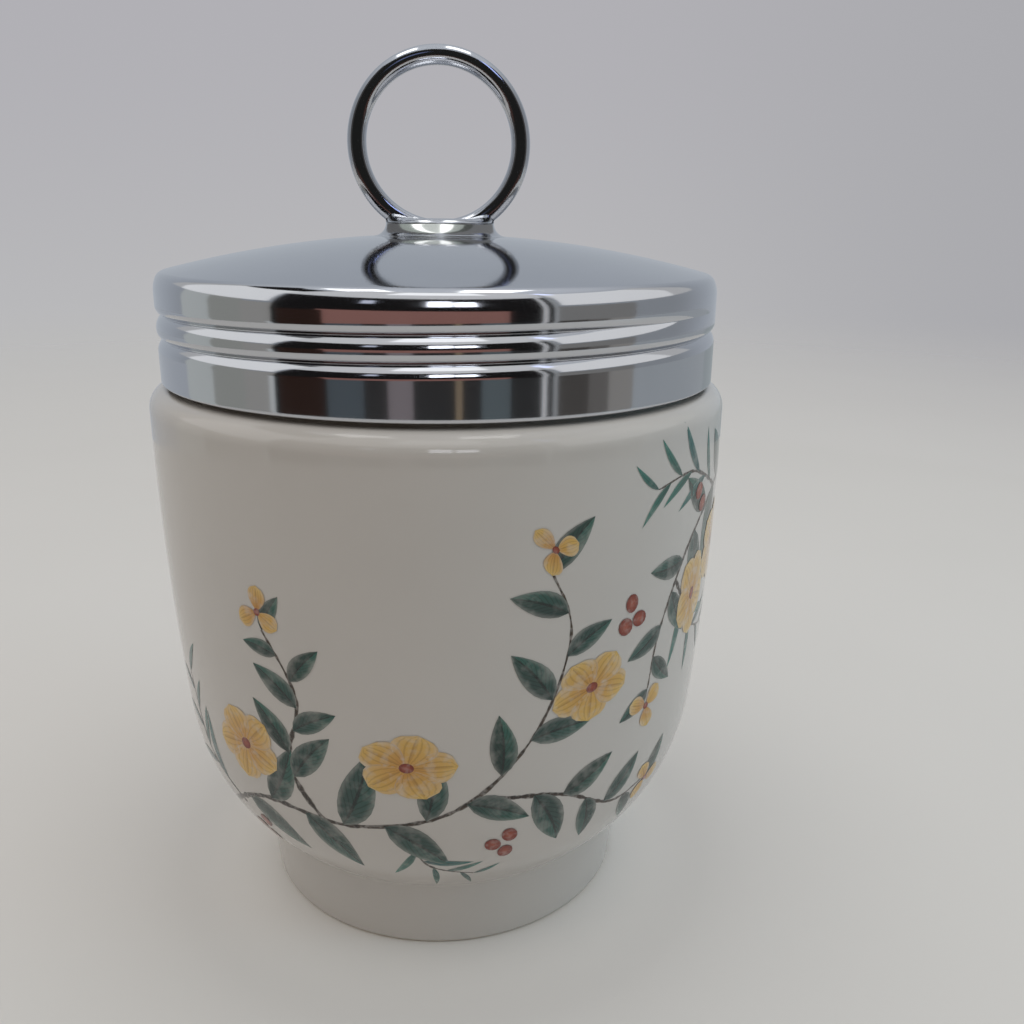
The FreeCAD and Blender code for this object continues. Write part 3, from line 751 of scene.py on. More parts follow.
def makeSprigTree():
    s = sprigLook
    tree, given = newTree("sprig", [
        ("Leaves", "Int"), ("Leaf Start", "Float"), ("Leaf Length", "Float"), ("Leaf Width", "Float"),
        ("Splay", "Float"), ("Stem Width", "Float"), ("Layer", "Float"), ("Seed", "Int"),
        ("Leaf Ink", "Material"), ("Stem Ink", "Material")])
    curve = addNode(tree, "GeometryNodeMeshToCurve", inputs=[given["Geometry"]])
    smooth = addNode(tree, "GeometryNodeCurveSplineType", {"spline_type": "CATMULL_ROM"}, {"Curve": curve})
    fine = addNode(tree, "GeometryNodeResampleCurve", {"mode": "COUNT"},
                   {"Curve": smooth, "Count": s["stemPoints"]})

    # Twig: a flat ribbon that thins towards its tip, with knots where its edge wanders.
    share = addNode(tree, "GeometryNodeSplineParameter").node.outputs["Factor"]
    taper = addNode(tree, "ShaderNodeMapRange", inputs=[share, 0.0, 1.0, 1.0, s["tipWidth"]])
    where = addNode(tree, "GeometryNodeInputPosition")
    knots = addNode(tree, "ShaderNodeTexNoise", {"noise_dimensions": "3D"},
                    {"Vector": where, "Scale": s["knotsPerMm"] / mm, "Detail": 1.0})
    uneven = addNode(tree, "ShaderNodeMapRange", inputs=[knots, *s["knotSpan"], *s["knotWidth"]])
    thick = addNode(tree, "ShaderNodeMath", {"operation": "MULTIPLY"}, [taper, uneven])
    sized = addNode(tree, "GeometryNodeSetCurveRadius", inputs={"Curve": fine, "Radius": thick})
    upright = addNode(tree, "GeometryNodeSetCurveNormal", {"mode": "Z_UP"}, {"Curve": sized})
    lengthed = addNode(tree, "GeometryNodeStoreNamedAttribute", {"data_type": "FLOAT", "domain": "POINT"},
                       {"Geometry": upright, "Name": "alongStem", "Value": share})
    half = addNode(tree, "ShaderNodeMath", {"operation": "MULTIPLY"}, [given["Stem Width"], 0.5])
    minus = addNode(tree, "ShaderNodeMath", {"operation": "MULTIPLY"}, [half, -1.0])
    ends = [addNode(tree, "ShaderNodeCombineXYZ", inputs=[reach, 0.0, 0.0]) for reach in (half, minus)]
    bar = addNode(tree, "GeometryNodeCurvePrimitiveLine", inputs={"Start": ends[0], "End": ends[1]})
    barShare = addNode(tree, "GeometryNodeSplineParameter").node.outputs["Factor"]
    sideways = addNode(tree, "ShaderNodeMapRange", inputs=[barShare, 0.0, 1.0, -1.0, 1.0])
    profile = addNode(tree, "GeometryNodeStoreNamedAttribute", {"data_type": "FLOAT", "domain": "POINT"},
                      {"Geometry": bar, "Name": "acrossStem", "Value": sideways})
    ribbon = addNode(tree, "GeometryNodeCurveToMesh",
                     inputs={"Curve": lengthed, "Profile Curve": profile, "Scale": thick})
    along, across = [addNode(tree, "GeometryNodeInputNamedAttribute", {"data_type": "FLOAT"}, [name])
                     for name in ("alongStem", "acrossStem")]
    spot = addNode(tree, "ShaderNodeCombineXYZ", inputs=[along, across, s["twigTone"]])
    placed = addNode(tree, "GeometryNodeStoreNamedAttribute", {"data_type": "FLOAT_VECTOR", "domain": "POINT"},
                     {"Geometry": ribbon, "Name": "place", "Value": spot})
    twig = addNode(tree, "GeometryNodeSetMaterial", inputs={"Geometry": placed, "Material": given["Stem Ink"]})

    # Leaves on alternate sides, smaller towards the tip, each a hair above the last.
    leafy = addNode(tree, "GeometryNodeTrimCurve", {"mode": "FACTOR"},
                    {"Curve": fine, "Start": given["Leaf Start"], "End": 1.0})
    spaced = addNode(tree, "GeometryNodeResampleCurve", {"mode": "COUNT"},
                     {"Curve": leafy, "Count": given["Leaves"]})
    number = addNode(tree, "GeometryNodeInputIndex")
    odd = addNode(tree, "ShaderNodeMath", {"operation": "MODULO"}, [number, 2.0])
    side = addNode(tree, "ShaderNodeMath", {"operation": "MULTIPLY_ADD"}, [odd, 2.0, -1.0])
    wander = addNode(tree, "FunctionNodeRandomValue", {"data_type": "FLOAT"},
                     {"Min": -s["wander"], "Max": s["wander"], "Seed": given["Seed"]})
    turn = addNode(tree, "ShaderNodeMath", {"operation": "MULTIPLY_ADD"}, [side, given["Splay"], wander])
    tangent = addNode(tree, "GeometryNodeInputTangent")
    aligned = addNode(tree, "FunctionNodeAlignRotationToVector", {"axis": "X", "pivot_axis": "Z"},
                      {"Vector": tangent})
    splayed = addNode(tree, "FunctionNodeAxisAngleToRotation", inputs={"Axis": (0.0, 0.0, 1.0), "Angle": turn})
    turned = addNode(tree, "FunctionNodeRotateRotation", {"rotation_space": "LOCAL"},
                     {"Rotation": aligned, "Rotate By": splayed})
    nextSeed = addNode(tree, "ShaderNodeMath", {"operation": "ADD"}, [given["Seed"], 7.0])
    growth = addNode(tree, "FunctionNodeRandomValue", {"data_type": "FLOAT"},
                     {"Min": s["growth"][0], "Max": s["growth"][1], "Seed": nextSeed})
    leafShare = addNode(tree, "GeometryNodeSplineParameter").node.outputs["Factor"]
    young = addNode(tree, "ShaderNodeMapRange", inputs=[leafShare, 0.0, 1.0, 1.0, s["tipGrowth"]])
    scale = addNode(tree, "ShaderNodeMath", {"operation": "MULTIPLY"}, [growth, young])
    step = addNode(tree, "ShaderNodeMath", {"operation": "MULTIPLY_ADD"},
                   [number, layerMm["leaf"] * mm, given["Layer"]])
    lift = addNode(tree, "ShaderNodeCombineXYZ", inputs=[0.0, 0.0, step])
    raised = addNode(tree, "GeometryNodeSetPosition", inputs={"Geometry": spaced, "Offset": lift})
    pair = addNode(tree, "GeometryNodeJoinGeometry")
    for bendSide in (1.0, -1.0):
        leaf = leafTemplate(tree, given["Leaf Length"], given["Leaf Width"], leafShape, bendSide)
        tree.links.new(addNode(tree, "GeometryNodeGeometryToInstance", inputs=[leaf]), pair.node.inputs[0])
    leaves = addNode(tree, "GeometryNodeInstanceOnPoints", inputs={
        "Points": raised, "Instance": pair, "Pick Instance": True, "Instance Index": odd, "Rotation": turned,
        "Scale": scale})
    real = markTone(tree, leaves, given["Seed"])
    green = addNode(tree, "GeometryNodeSetMaterial", inputs={"Geometry": real, "Material": given["Leaf Ink"]})
    both = addNode(tree, "GeometryNodeJoinGeometry")
    for part in (green, twig):
        tree.links.new(part, both.node.inputs[0])
    addNode(tree, "NodeGroupOutput", inputs=[addNode(tree, "GeometryNodeRealizeInstances", inputs=[both])])
    return tree


def makeBlossomTree():
    s = blossomLook
    tree, given = newTree("blossoms", [
        ("Petals", "Int"), ("Petal Length", "Float"), ("Petal Width", "Float"), ("Heart", "Float"),
        ("Flattest", "Float"), ("Layer", "Float"), ("Seed", "Int"), ("Petal Ink", "Material"),
        ("Heart Ink", "Material")])
    ringRadius = addNode(tree, "ShaderNodeMath", {"operation": "MULTIPLY"},
                         [given["Petal Length"], s["ringShare"]])
    ring = addNode(tree, "GeometryNodeMeshCircle", {"fill_type": "NONE"},
                   {"Vertices": given["Petals"], "Radius": ringRadius})
    petal = leafTemplate(tree, given["Petal Length"], given["Petal Width"], petalShape)
    number = addNode(tree, "GeometryNodeInputIndex")
    share = addNode(tree, "ShaderNodeMath", {"operation": "DIVIDE"}, [number, given["Petals"]])
    angle = addNode(tree, "ShaderNodeMath", {"operation": "MULTIPLY"}, [share, math.tau])
    lift = addNode(tree, "ShaderNodeMath", {"operation": "MULTIPLY"}, [number, layerMm["petal"] * mm])
    raised = addNode(tree, "ShaderNodeCombineXYZ", inputs=[0.0, 0.0, lift])
    fan = addNode(tree, "GeometryNodeSetPosition", inputs={"Geometry": ring, "Offset": raised})
    fanned = addNode(tree, "ShaderNodeCombineXYZ", inputs=[0.0, 0.0, angle])
    petals = addNode(tree, "GeometryNodeInstanceOnPoints",
                     inputs={"Points": fan, "Instance": petal, "Rotation": fanned})
    real = markTone(tree, petals, given["Seed"])
    inked = addNode(tree, "GeometryNodeSetMaterial", inputs={"Geometry": real, "Material": given["Petal Ink"]})
    disc = addNode(tree, "GeometryNodeMeshCircle", {"fill_type": "TRIANGLE_FAN"},
                   {"Vertices": s["heartSides"], "Radius": given["Heart"]})
    where = addNode(tree, "GeometryNodeInputPosition")
    size = addNode(tree, "ShaderNodeVectorMath", {"operation": "LENGTH"}, [where]).node.outputs["Value"]
    outwards = addNode(tree, "ShaderNodeMath", {"operation": "DIVIDE"}, [size, given["Heart"]])
    spot = addNode(tree, "ShaderNodeCombineXYZ", inputs=[outwards, s["heartAcross"], s["heartTone"]])
    heart = addNode(tree, "GeometryNodeStoreNamedAttribute", {"data_type": "FLOAT_VECTOR", "domain": "POINT"},
                    {"Geometry": disc, "Name": "place", "Value": spot})
    above = addNode(tree, "GeometryNodeTransform",
                    inputs={"Geometry": heart, "Translation": (0.0, 0.0, layerMm["heart"] * mm)})
    centre = addNode(tree, "GeometryNodeSetMaterial",
                     inputs={"Geometry": above, "Material": given["Heart Ink"]})
    flower = addNode(tree, "GeometryNodeJoinGeometry")
    for part in (inked, centre):
        tree.links.new(part, flower.node.inputs[0])

    # Neighbouring flowers lie at three heights in turn, and each is squashed and turned its own way.
    third = addNode(tree, "ShaderNodeMath", {"operation": "MODULO"}, [number, 3.0])
    step = addNode(tree, "ShaderNodeMath", {"operation": "MULTIPLY_ADD"},
                   [third, layerMm["flower"] * mm, given["Layer"]])
    stacked = addNode(tree, "ShaderNodeCombineXYZ", inputs=[0.0, 0.0, step])
    spots = addNode(tree, "GeometryNodeSetPosition", inputs={"Geometry": given["Geometry"], "Offset": stacked})
    flat = addNode(tree, "ShaderNodeCombineXYZ", inputs=[1.0, given["Flattest"], 1.0])
    squash = addNode(tree, "FunctionNodeRandomValue", {"data_type": "FLOAT_VECTOR"},
                     {"Min": flat, "Max": s["largest"], "Seed": given["Seed"]})
    spin = addNode(tree, "FunctionNodeRandomValue", {"data_type": "FLOAT"},
                   {"Min": 0.0, "Max": math.tau, "Seed": given["Seed"]})
    spun = addNode(tree, "ShaderNodeCombineXYZ", inputs=[0.0, 0.0, spin])
    flowers = addNode(tree, "GeometryNodeInstanceOnPoints",
                      inputs={"Points": spots, "Instance": flower, "Scale": squash, "Rotation": spun})
    addNode(tree, "NodeGroupOutput", inputs=[addNode(tree, "GeometryNodeRealizeInstances", inputs=[flowers])])
    return tree


def makeWrapTree():
    # Lays the flat print round the cup: rays from a cylinder well outside it find its surface.
    outside = 0.06  # that cylinder's radius in m
    tree, given = newTree("wrapOnCup", [("Cup", "Object"), ("Radius", "Float"), ("Gap", "Float")])
    flat = addNode(tree, "ShaderNodeSeparateXYZ",
                   inputs=[addNode(tree, "GeometryNodeInputPosition")]).node.outputs
    turned = addNode(tree, "ShaderNodeMath", {"operation": "DIVIDE"}, [flat["X"], given["Radius"]])
    angle = addNode(tree, "ShaderNodeMath", {"operation": "ADD"}, [turned, math.radians(frontAngle)])
    x = addNode(tree, "ShaderNodeMath", {"operation": "COSINE"}, [angle])
    y = addNode(tree, "ShaderNodeMath", {"operation": "SINE"}, [angle])
    outward = addNode(tree, "ShaderNodeCombineXYZ", inputs=[x, y, 0.0])
    inward = addNode(tree, "ShaderNodeVectorMath", {"operation": "SCALE"}, {"Vector": outward, "Scale": -1.0})
    height = addNode(tree, "ShaderNodeCombineXYZ", inputs=[0.0, 0.0, flat["Y"]])
    far = addNode(tree, "ShaderNodeVectorMath", {"operation": "SCALE"}, {"Vector": outward, "Scale": outside})
    start = addNode(tree, "ShaderNodeVectorMath", {"operation": "ADD"}, [far, height])
    surface = addNode(tree, "GeometryNodeObjectInfo", inputs=[given["Cup"]]).node.outputs["Geometry"]
    hit = addNode(tree, "GeometryNodeRaycast", {"data_type": "FLOAT"}, {
        "Target Geometry": surface, "Source Position": start, "Ray Direction": inward,
        "Ray Length": outside}).node.outputs
    lift = addNode(tree, "ShaderNodeMath", {"operation": "ADD"}, [flat["Z"], given["Gap"]])
    up = addNode(tree, "ShaderNodeVectorMath", {"operation": "SCALE"},
                 {"Vector": hit["Hit Normal"], "Scale": lift})
    spot = addNode(tree, "ShaderNodeVectorMath", {"operation": "ADD"}, [hit["Hit Position"], up])
    laid = addNode(tree, "GeometryNodeSetPosition", inputs={"Geometry": given["Geometry"], "Position": spot})
    addNode(tree, "NodeGroupOutput",
            inputs=[addNode(tree, "GeometryNodeSetShadeSmooth", inputs={"Geometry": laid})])
    return tree


def makePrint():
    # Each sprig is its kind, its stem's places and its leaves: how many, the share of the stem
    # below the first, their length and width in mm, and how far they splay in degrees.
    broad = {"ink": leafInk, "stemWidth": 0.62}
    slim = {"ink": bladeInk, "stemWidth": 0.42}
    sprigs = [
        (broad, [(-27, 15), (-19, 19), (-9, 18.5), (1, 21), (8, 28), (11, 37), (9, 43)],
         (13, 0.10, 9.0, 3.9, 46)),
        (broad, [(-12, 18.4), (-15, 24), (-13.5, 31), (-16.5, 37)], (7, 0.25, 6.8, 3.0, 42)),
        (broad, [(3, 22), (11, 21), (18, 17.5), (23, 18)], (6, 0.25, 7.2, 3.2, 44)),
        (slim, [(-24, 16), (-29, 21), (-31, 28)], (7, 0.2, 7.0, 1.15, 34)),
        (slim, [(-4, 19), (-2, 13.5), (3, 11.5)], (6, 0.3, 5.4, 1.0, 36)),
        (broad, [(38, 47), (32, 46), (26, 42), (22, 35), (21, 29)], (9, 0.08, 7.8, 3.4, 44)),
        (slim, [(33, 46), (26, 49), (20, 48.5)], (7, 0.2, 6.6, 1.1, 32)),
        (slim, [(24, 39), (29, 33), (35, 31)], (7, 0.2, 6.8, 1.1, 34)),
        (broad, [(118, 16), (109, 20), (99, 19), (89, 22), (82, 30), (80, 38), (83, 43)],
         (13, 0.10, 9.0, 3.9, 46)),
        (broad, [(101, 19), (104, 26), (101, 32), (103, 38)], (7, 0.25, 6.8, 3.0, 42)),
        (slim, [(90, 21), (83, 17), (76, 17.5)], (7, 0.25, 6.6, 1.15, 36)),
        (broad, [(60, 40), (65, 37), (69, 31), (68, 25)], (7, 0.1, 6.4, 2.8, 44)),
        (broad, [(-48, 44), (-54, 40), (-57, 33), (-54, 27)], (8, 0.1, 6.8, 3.0, 44)),
        (slim, [(-55, 36), (-49, 31), (-46, 25)], (7, 0.2, 6.0, 1.1, 34))]
    # Groups of flowers: petals, their length and width, and the heart's radius, in mm. A berry is
    # all heart.
    blossoms = {"petals": 5, "length": 3.9, "width": 3.9, "heart": 0.62, "flattest": 0.72, "seed": 5,
                "layer": layerMm["blossoms"], "ink": petalInk,
                "spots": [(-20.5, 24.5), (-3.5, 25.5), (13.5, 31.5), (28, 36.5), (34.5, 40), (94, 27),
                          (110, 25.5), (78, 34), (64, 31.5), (-57.5, 29)]}
    buds = {"petals": 3, "length": 2.3, "width": 1.9, "heart": 0.35, "flattest": 0.8, "seed": 8,
            "layer": layerMm["blossoms"], "ink": petalInk,
            "spots": [(-16.8, 38.6), (9.2, 45.0), (23.6, 17.8), (21, 27.2), (83.5, 44.8), (103.2, 39.8),
                      (68, 23.4), (-53.6, 25.4)]}
    berries = {"petals": 3, "length": 0.5, "width": 0.3, "heart": 0.85, "flattest": 0.85, "seed": 3,
               "layer": layerMm["berries"], "ink": twigInk,
               "spots": [(-23.5, 13.2), (-21.6, 14.6), (-22.4, 11.9), (4.6, 16.2), (6.2, 17.3), (6.0, 15.0),
                         (17.5, 38.6), (18.6, 36.9), (16.9, 36.5), (27.5, 46.8), (28.6, 45.4), (115, 13.6),
                         (113.3, 15), (86, 26), (84.6, 27.4), (87, 27.8), (-51, 38.5), (-50, 37)]}
    firstSeed = 11
    sprigTree, blossomTree, wrapTree = makeSprigTree(), makeBlossomTree(), makeWrapTree()
    parts = []
    for number, (kind, stem, (count, first, length, width, splay)) in enumerate(sprigs):
        layer = layerMm["sprigs"] + layerMm["nextSprig"] * (number % 4)
        parts.append(grow("sprig", sprigTree, {
            "Leaves": count, "Leaf Start": first, "Leaf Length": length * mm, "Leaf Width": width * mm,
            "Splay": math.radians(splay), "Stem Width": kind["stemWidth"] * mm, "Layer": layer * mm,
            "Seed": firstSeed + number, "Leaf Ink": kind["ink"], "Stem Ink": twigInk},
            lineMesh("stem", [(u * mm, v * mm, 0) for u, v in stem])))
    for name, group in (("blossoms", blossoms), ("blossoms", buds), ("berries", berries)):
        parts.append(grow(name, blossomTree, {
            "Petals": group["petals"], "Petal Length": group["length"] * mm, "Petal Width": group["width"] * mm,
            "Heart": group["heart"] * mm, "Flattest": group["flattest"], "Layer": group["layer"] * mm,
            "Seed": group["seed"], "Petal Ink": group["ink"], "Heart Ink": berryInk},
            lineMesh("spots", [(u * mm, v * mm, 0) for u, v in group["spots"]], chained=False)))
    flat = joined("flatPrint", parts)
    wrap = {"Cup": cup, "Radius": cupSize["bodyRadius"] * mm, "Gap": layerMm["glaze"] * mm}
    made = grow("glazePrint", wrapTree, wrap, flat.data.copy())
    bpy.data.objects.remove(flat)
    return made


glazePrint = makePrint()
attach(glazePrint, "cup")
print("print made", len(glazePrint.data.polygons))


# Floor, backdrop, lamps and camera

def makeFloor():
    # near is painted light: the paler paper colour round the foot that lifts its contact shadow.
    s = {"radius": 1.4, "sides": 96, "pale": "#D4D1CD", "cloud": "#D0CDC9", "cloudMm": 60, "near": "#F6F3EE",
         "paintedLightFullTo": 0.017, "paintedLightGoneBy": 0.031, "solidTo": 0.10, "goneBy": 0.75}
    smooth = {"interpolation_type": "SMOOTHSTEP"}
    mesh = bpy.data.meshes.new("floor")
    turns = [math.tau * i / s["sides"] for i in range(s["sides"])]
    mesh.from_pydata([(s["radius"] * math.cos(a), s["radius"] * math.sin(a), 0) for a in turns], [],
                     [tuple(range(s["sides"]))])
    floor = bpy.data.objects.new("floor", mesh)
    scene.collection.objects.link(floor)
    material, tree, shader = newMaterial("paperFloor", {"Roughness": 0.6, "IOR": 1.35})
    place = addNode(tree, "ShaderNodeTexCoord").node.outputs["Object"]
    clouds = addNode(tree, "ShaderNodeTexNoise",
                     inputs={"Vector": place, "Scale": 1 / (s["cloudMm"] * mm), "Detail": 2.0})
    away = addNode(tree, "ShaderNodeVectorMath", {"operation": "LENGTH"}, [place]).node.outputs["Value"]
    paper = addNode(tree, "ShaderNodeMix", {"data_type": "RGBA"},
                    [clouds, colour(s["pale"]), colour(s["cloud"])])

    # Painted light: the paper round the foot is painted paler, which lifts and softens the contact shadow
    # there.
    far = addNode(tree, "ShaderNodeMapRange", smooth, [away, s["paintedLightFullTo"], s["paintedLightGoneBy"], 0.0, 1.0])
    tree.links.new(addNode(tree, "ShaderNodeMix", {"data_type": "RGBA"}, [far, colour(s["near"]), paper]),
                   shader.inputs["Base Color"])

    # The paper thins out into the backdrop, so no edge shows.
    gone = addNode(tree, "ShaderNodeMapRange", smooth, [away, s["solidTo"], s["goneBy"], 0.0, 1.0])
    clear = addNode(tree, "ShaderNodeBsdfTransparent")
    out = next(n for n in tree.nodes if n.bl_idname == "ShaderNodeOutputMaterial")
    tree.links.new(addNode(tree, "ShaderNodeMixShader", inputs=[gone, shader.outputs[0], clear]),
                   out.inputs["Surface"])
    mesh.materials.append(material)


def makeFlags():
    # Cards round the front and sides and two panels above give the chrome its dark bands and
    # bright panes. Only reflections see them, from the inside, and the lid, its collar and its
    # ring each have their own. A card tells them apart by the place that the ray left from, so it
    # is the same wherever the camera stands. Each card is (start and end in degrees from the front
    # to the right, lowest and highest degrees, radius in m, brightness, hex colour).
    s = {"height": 0.06, "collarFrom": 0.06885, "ringFrom": 0.0700, "ringWithin": 0.0098, "patchDeg": 4,
         "panelStep": 0.001}
    kinds = {"lid": 0.0, "collar": 0.5, "ring": 1.0}  # a card's alpha, matched within kindStep
    kindStep = 0.1
    lidCards = {
        "darkRoom": (-62, 42.5, -5.5, 33, 0.240, 1.0, "#1B1A1A"),
        "greyTable": (-62, 42.5, -14.4, -5.5, 0.240, 1.0, "#343434"),
        "hand": (-44, 24, -5.5, 2, 0.238, 1.0, "#936A62"),
        "sleeve": (-60.2, -42, -14.4, 0, 0.237, 1.0, "#30221D"),
        "slateCloth": (-41, -27.5, -14.4, -5.5, 0.236, 1.0, "#525A5F"),
        "roseCloth": (-19, -10, -14.4, -5.5, 0.238, 1.0, "#827A7C"),
        "greenCloth": (14, 24.5, -14.4, -5.5, 0.238, 1.0, "#5D6669"),
        "brassRod": (4.8, 7.2, -14.4, -5.5, 0.238, 1.0, "#8A7A66"),
        "leftRod": (-64.6, -62.2, -14.4, -5.5, 0.236, 1.0, "#C9CCCB"),
        "leftEdge": (-62.2, -60.2, -14.4, 2, 0.236, 1.0, "#151515"),
        "rightRod": (36.2, 38.2, -14.4, 41, 0.236, 1.0, "#D8D8D8"),
        "thinRod": (40.5, 42.4, -14.4, 41, 0.236, 1.0, "#A5A7A8"),
        "rightCard": (42.5, 55, -14.4, -5.5, 0.240, 1.0, "#4F4C49"),
        "nextCard": (55, 64, -14.4, -5.5, 0.240, 1.0, "#6C6966"),
        "lastCard": (64, 76, -14.4, -5.5, 0.240, 1.0, "#94918D"),
        "rightWall": (42.5, 76, -5.5, 10, 0.240, 1.0, "#868583"),
        "leftWall": (-76, -62, -14.4, 10, 0.240, 1.0, "#A09E9A"),
        "leftSide": (-93, -76, -14.4, 13, 0.240, 1.0, "#9C9D98"),
        "leftGlow": (-111, -93, -14.4, 13, 0.240, 1.0, "#BFC3C1"),
        "leftFar": (-168, -111, -14.4, -5.5, 0.240, 1.0, "#AEB3BA"),
        "leftCornice": (-114, -64, 13, 46, 0.240, 1.0, "#FFFFFF"),
        "rightCornice": (44, 100, 13, 46, 0.240, 0.95, "#FFFFFF"),
        "leftDim": (-124, -114, 13, 46, 0.240, 0.55, "#FFFFFF"),
        "rightDim": (100, 116, 13, 46, 0.240, 0.6, "#FFFFFF"),
        "leftLine": (-116, -64, 46, 60, 0.240, 1.0, "#1B1A1A"),
        "rightSide": (76, 130, -14.4, -5.5, 0.240, 1.0, "#A6ABAF"),
        "rightFar": (130, 168, -14.4, -5.5, 0.240, 1.0, "#9CA3A6"),
        "paneLeft": (-4.7, 3.6, 13.5, 27, 0.236, 4.0, "#F4F6FF"),
        "paneRight": (4.8, 12.6, 14, 25, 0.236, 4.0, "#F4F6FF"),
        "farPane": (-29, -24, 19, 27, 0.236, 1.0, "#DDE2F4"),
        "cornice": (-64, 44, 33, 72, 0.240, 0.78, "#FFFFFF"),
        "corniceMiddle": (-24, 20, 46, 68, 0.236, 1.5, "#FFFFFF"),
        "sidePane": (44, 49, 40, 52, 0.236, 2.2, "#D6DEFF")}
    collarCards = {
        "leftPlain": (-95, -62, -14, 86, 0.240, 0.5, "#F6FFF4"),
        "leftBright": (-62, -40, -14, 86, 0.240, 2.4, "#FFFFF8"),
        "middle": (-40, 0, -14, 86, 0.240, 0.9, "#FBFFF6"),
        "rightBright": (0, 28, -14, 86, 0.240, 2.4, "#FFFFF8"),
        "rightPlain": (28, 52, -14, 86, 0.240, 0.6, "#F0F8EE"),
        "rightDark": (52, 74, -14, 86, 0.240, 0.12, "#F0F8EE"),
        "leftDark": (-150, -95, -14, 86, 0.240, 0.16, "#FFFFFF"),
        "sideDark": (74, 150, -14, 86, 0.240, 0.22, "#FFFFFF")}
    ringCards = {
        "dark": (-56, 56, -5, 56, 0.244, 1.0, "#252524"),
        "leftGrey": (-76, -56, -13, 56, 0.244, 1.0, "#4A4847"),
        "rightGrey": (56, 74, -13, 56, 0.244, 1.0, "#4A4847"),
        "brown": (-56, 56, -13, -5, 0.244, 1.0, "#4A3530"),
        "pane": (38, 52, 42, 56, 0.236, 2.0, "#B4C4FF"),
        "dimPane": (-14, -3, 24, 33, 0.236, 0.35, "#B4C4FF")}
    # Each ceiling panel is (left, right, front, back, height, brightness).
    panels = [(-0.115, -0.055, -0.07, 0.06, 0.32, 3.0), (0.02, 0.085, -0.07, 0.06, 0.32, 3.0)]
    points, faces, shades = [], [], []

    def addPatch(grid, shade, brightness, kind):
        # grid is a list of rows of points.
        first, across = len(points), len(grid[0])
        points.extend(point for row in grid for point in row)
        for j in range(len(grid) - 1):
            for i in range(across - 1):
                corner = first + j * across + i
                faces.append((corner, corner + 1, corner + across + 1, corner + across))
                shades.append([c * brightness for c in colour(shade)[:3]] + [kind])

    def spread(low, high):
        count = max(1, math.ceil((high - low) / s["patchDeg"]))
        return [math.radians(low + (high - low) * i / count) for i in range(count + 1)]

    for kind, cards in ((kinds["lid"], lidCards), (kinds["collar"], collarCards), (kinds["ring"], ringCards)):
        for start, end, low, high, radius, brightness, shade in cards.values():
            turns, rises = spread(frontAngle + start, frontAngle + end), spread(low, high)
            grid = [[(radius * math.cos(rise) * math.cos(turn), radius * math.cos(rise) * math.sin(turn),
                      s["height"] + radius * math.sin(rise)) for turn in turns] for rise in rises]
            addPatch(grid, shade, brightness, kind)
    for left, right, front, back, height, brightness in panels:
        for kind in (kinds["lid"], kinds["ring"]):
            level = height + s["panelStep"] * kind
            grid = [[(x, y, level) for x in (left, right)] for y in (front, back)]
            addPatch(grid, "#FFFFFF", brightness, kind)
    mesh = bpy.data.meshes.new("flags")
    mesh.from_pydata(points, [], faces)
    card = mesh.color_attributes.new("card", "FLOAT_COLOR", "CORNER")
    for face, shade in zip(mesh.polygons, shades):
        for loop in face.loop_indices:
            card.data[loop].color = shade
    flags = bpy.data.objects.new("flags", mesh)
    scene.collection.objects.link(flags)
    material = bpy.data.materials.new("flagCard")
    material.use_nodes = True
    tree = material.node_tree
    tree.nodes.clear()
    shade = addNode(tree, "ShaderNodeAttribute", {"attribute_name": "card"}).node.outputs
    hit = addNode(tree, "ShaderNodeNewGeometry").node.outputs
    travelled = addNode(tree, "ShaderNodeLightPath").node.outputs["Ray Length"]
    back = addNode(tree, "ShaderNodeVectorMath", {"operation": "SCALE"},
                   {"Vector": hit["Incoming"], "Scale": travelled})
    left = addNode(tree, "ShaderNodeVectorMath", {"operation": "ADD"}, [hit["Position"], back])
    height = addNode(tree, "ShaderNodeSeparateXYZ", inputs=[left]).node.outputs["Z"]
    pastLid = addNode(tree, "ShaderNodeMath", {"operation": "GREATER_THAN"}, [height, s["collarFrom"]])
    pastCollar = addNode(tree, "ShaderNodeMath", {"operation": "GREATER_THAN"}, [height, s["ringFrom"]])
    level = addNode(tree, "ShaderNodeVectorMath", {"operation": "MULTIPLY"}, [left, (1, 1, 0)])
    aside = addNode(tree, "ShaderNodeVectorMath", {"operation": "LENGTH"}, [level]).node.outputs["Value"]
    near = addNode(tree, "ShaderNodeMath", {"operation": "LESS_THAN"}, [aside, s["ringWithin"]])
    steps = addNode(tree, "ShaderNodeMath", {"operation": "ADD"}, [pastLid, pastCollar])
    half = addNode(tree, "ShaderNodeMath", {"operation": "MULTIPLY"}, [steps, 0.5])
    kind = addNode(tree, "ShaderNodeMath", {"operation": "MULTIPLY"}, [half, near])
    same = addNode(tree, "ShaderNodeMath", {"operation": "COMPARE"}, [kind, shade["Alpha"], kindStep])
    shows = addNode(tree, "ShaderNodeMath", {"operation": "MULTIPLY"}, [same, hit["Backfacing"]])
    glow = addNode(tree, "ShaderNodeEmission", inputs=[shade["Color"], 1.0])
    clear = addNode(tree, "ShaderNodeBsdfTransparent")
    addNode(tree, "ShaderNodeOutputMaterial",
            inputs=[addNode(tree, "ShaderNodeMixShader", inputs=[shows, clear, glow])])
    mesh.materials.append(material)
    flags.visible_camera = flags.visible_diffuse = flags.visible_shadow = False


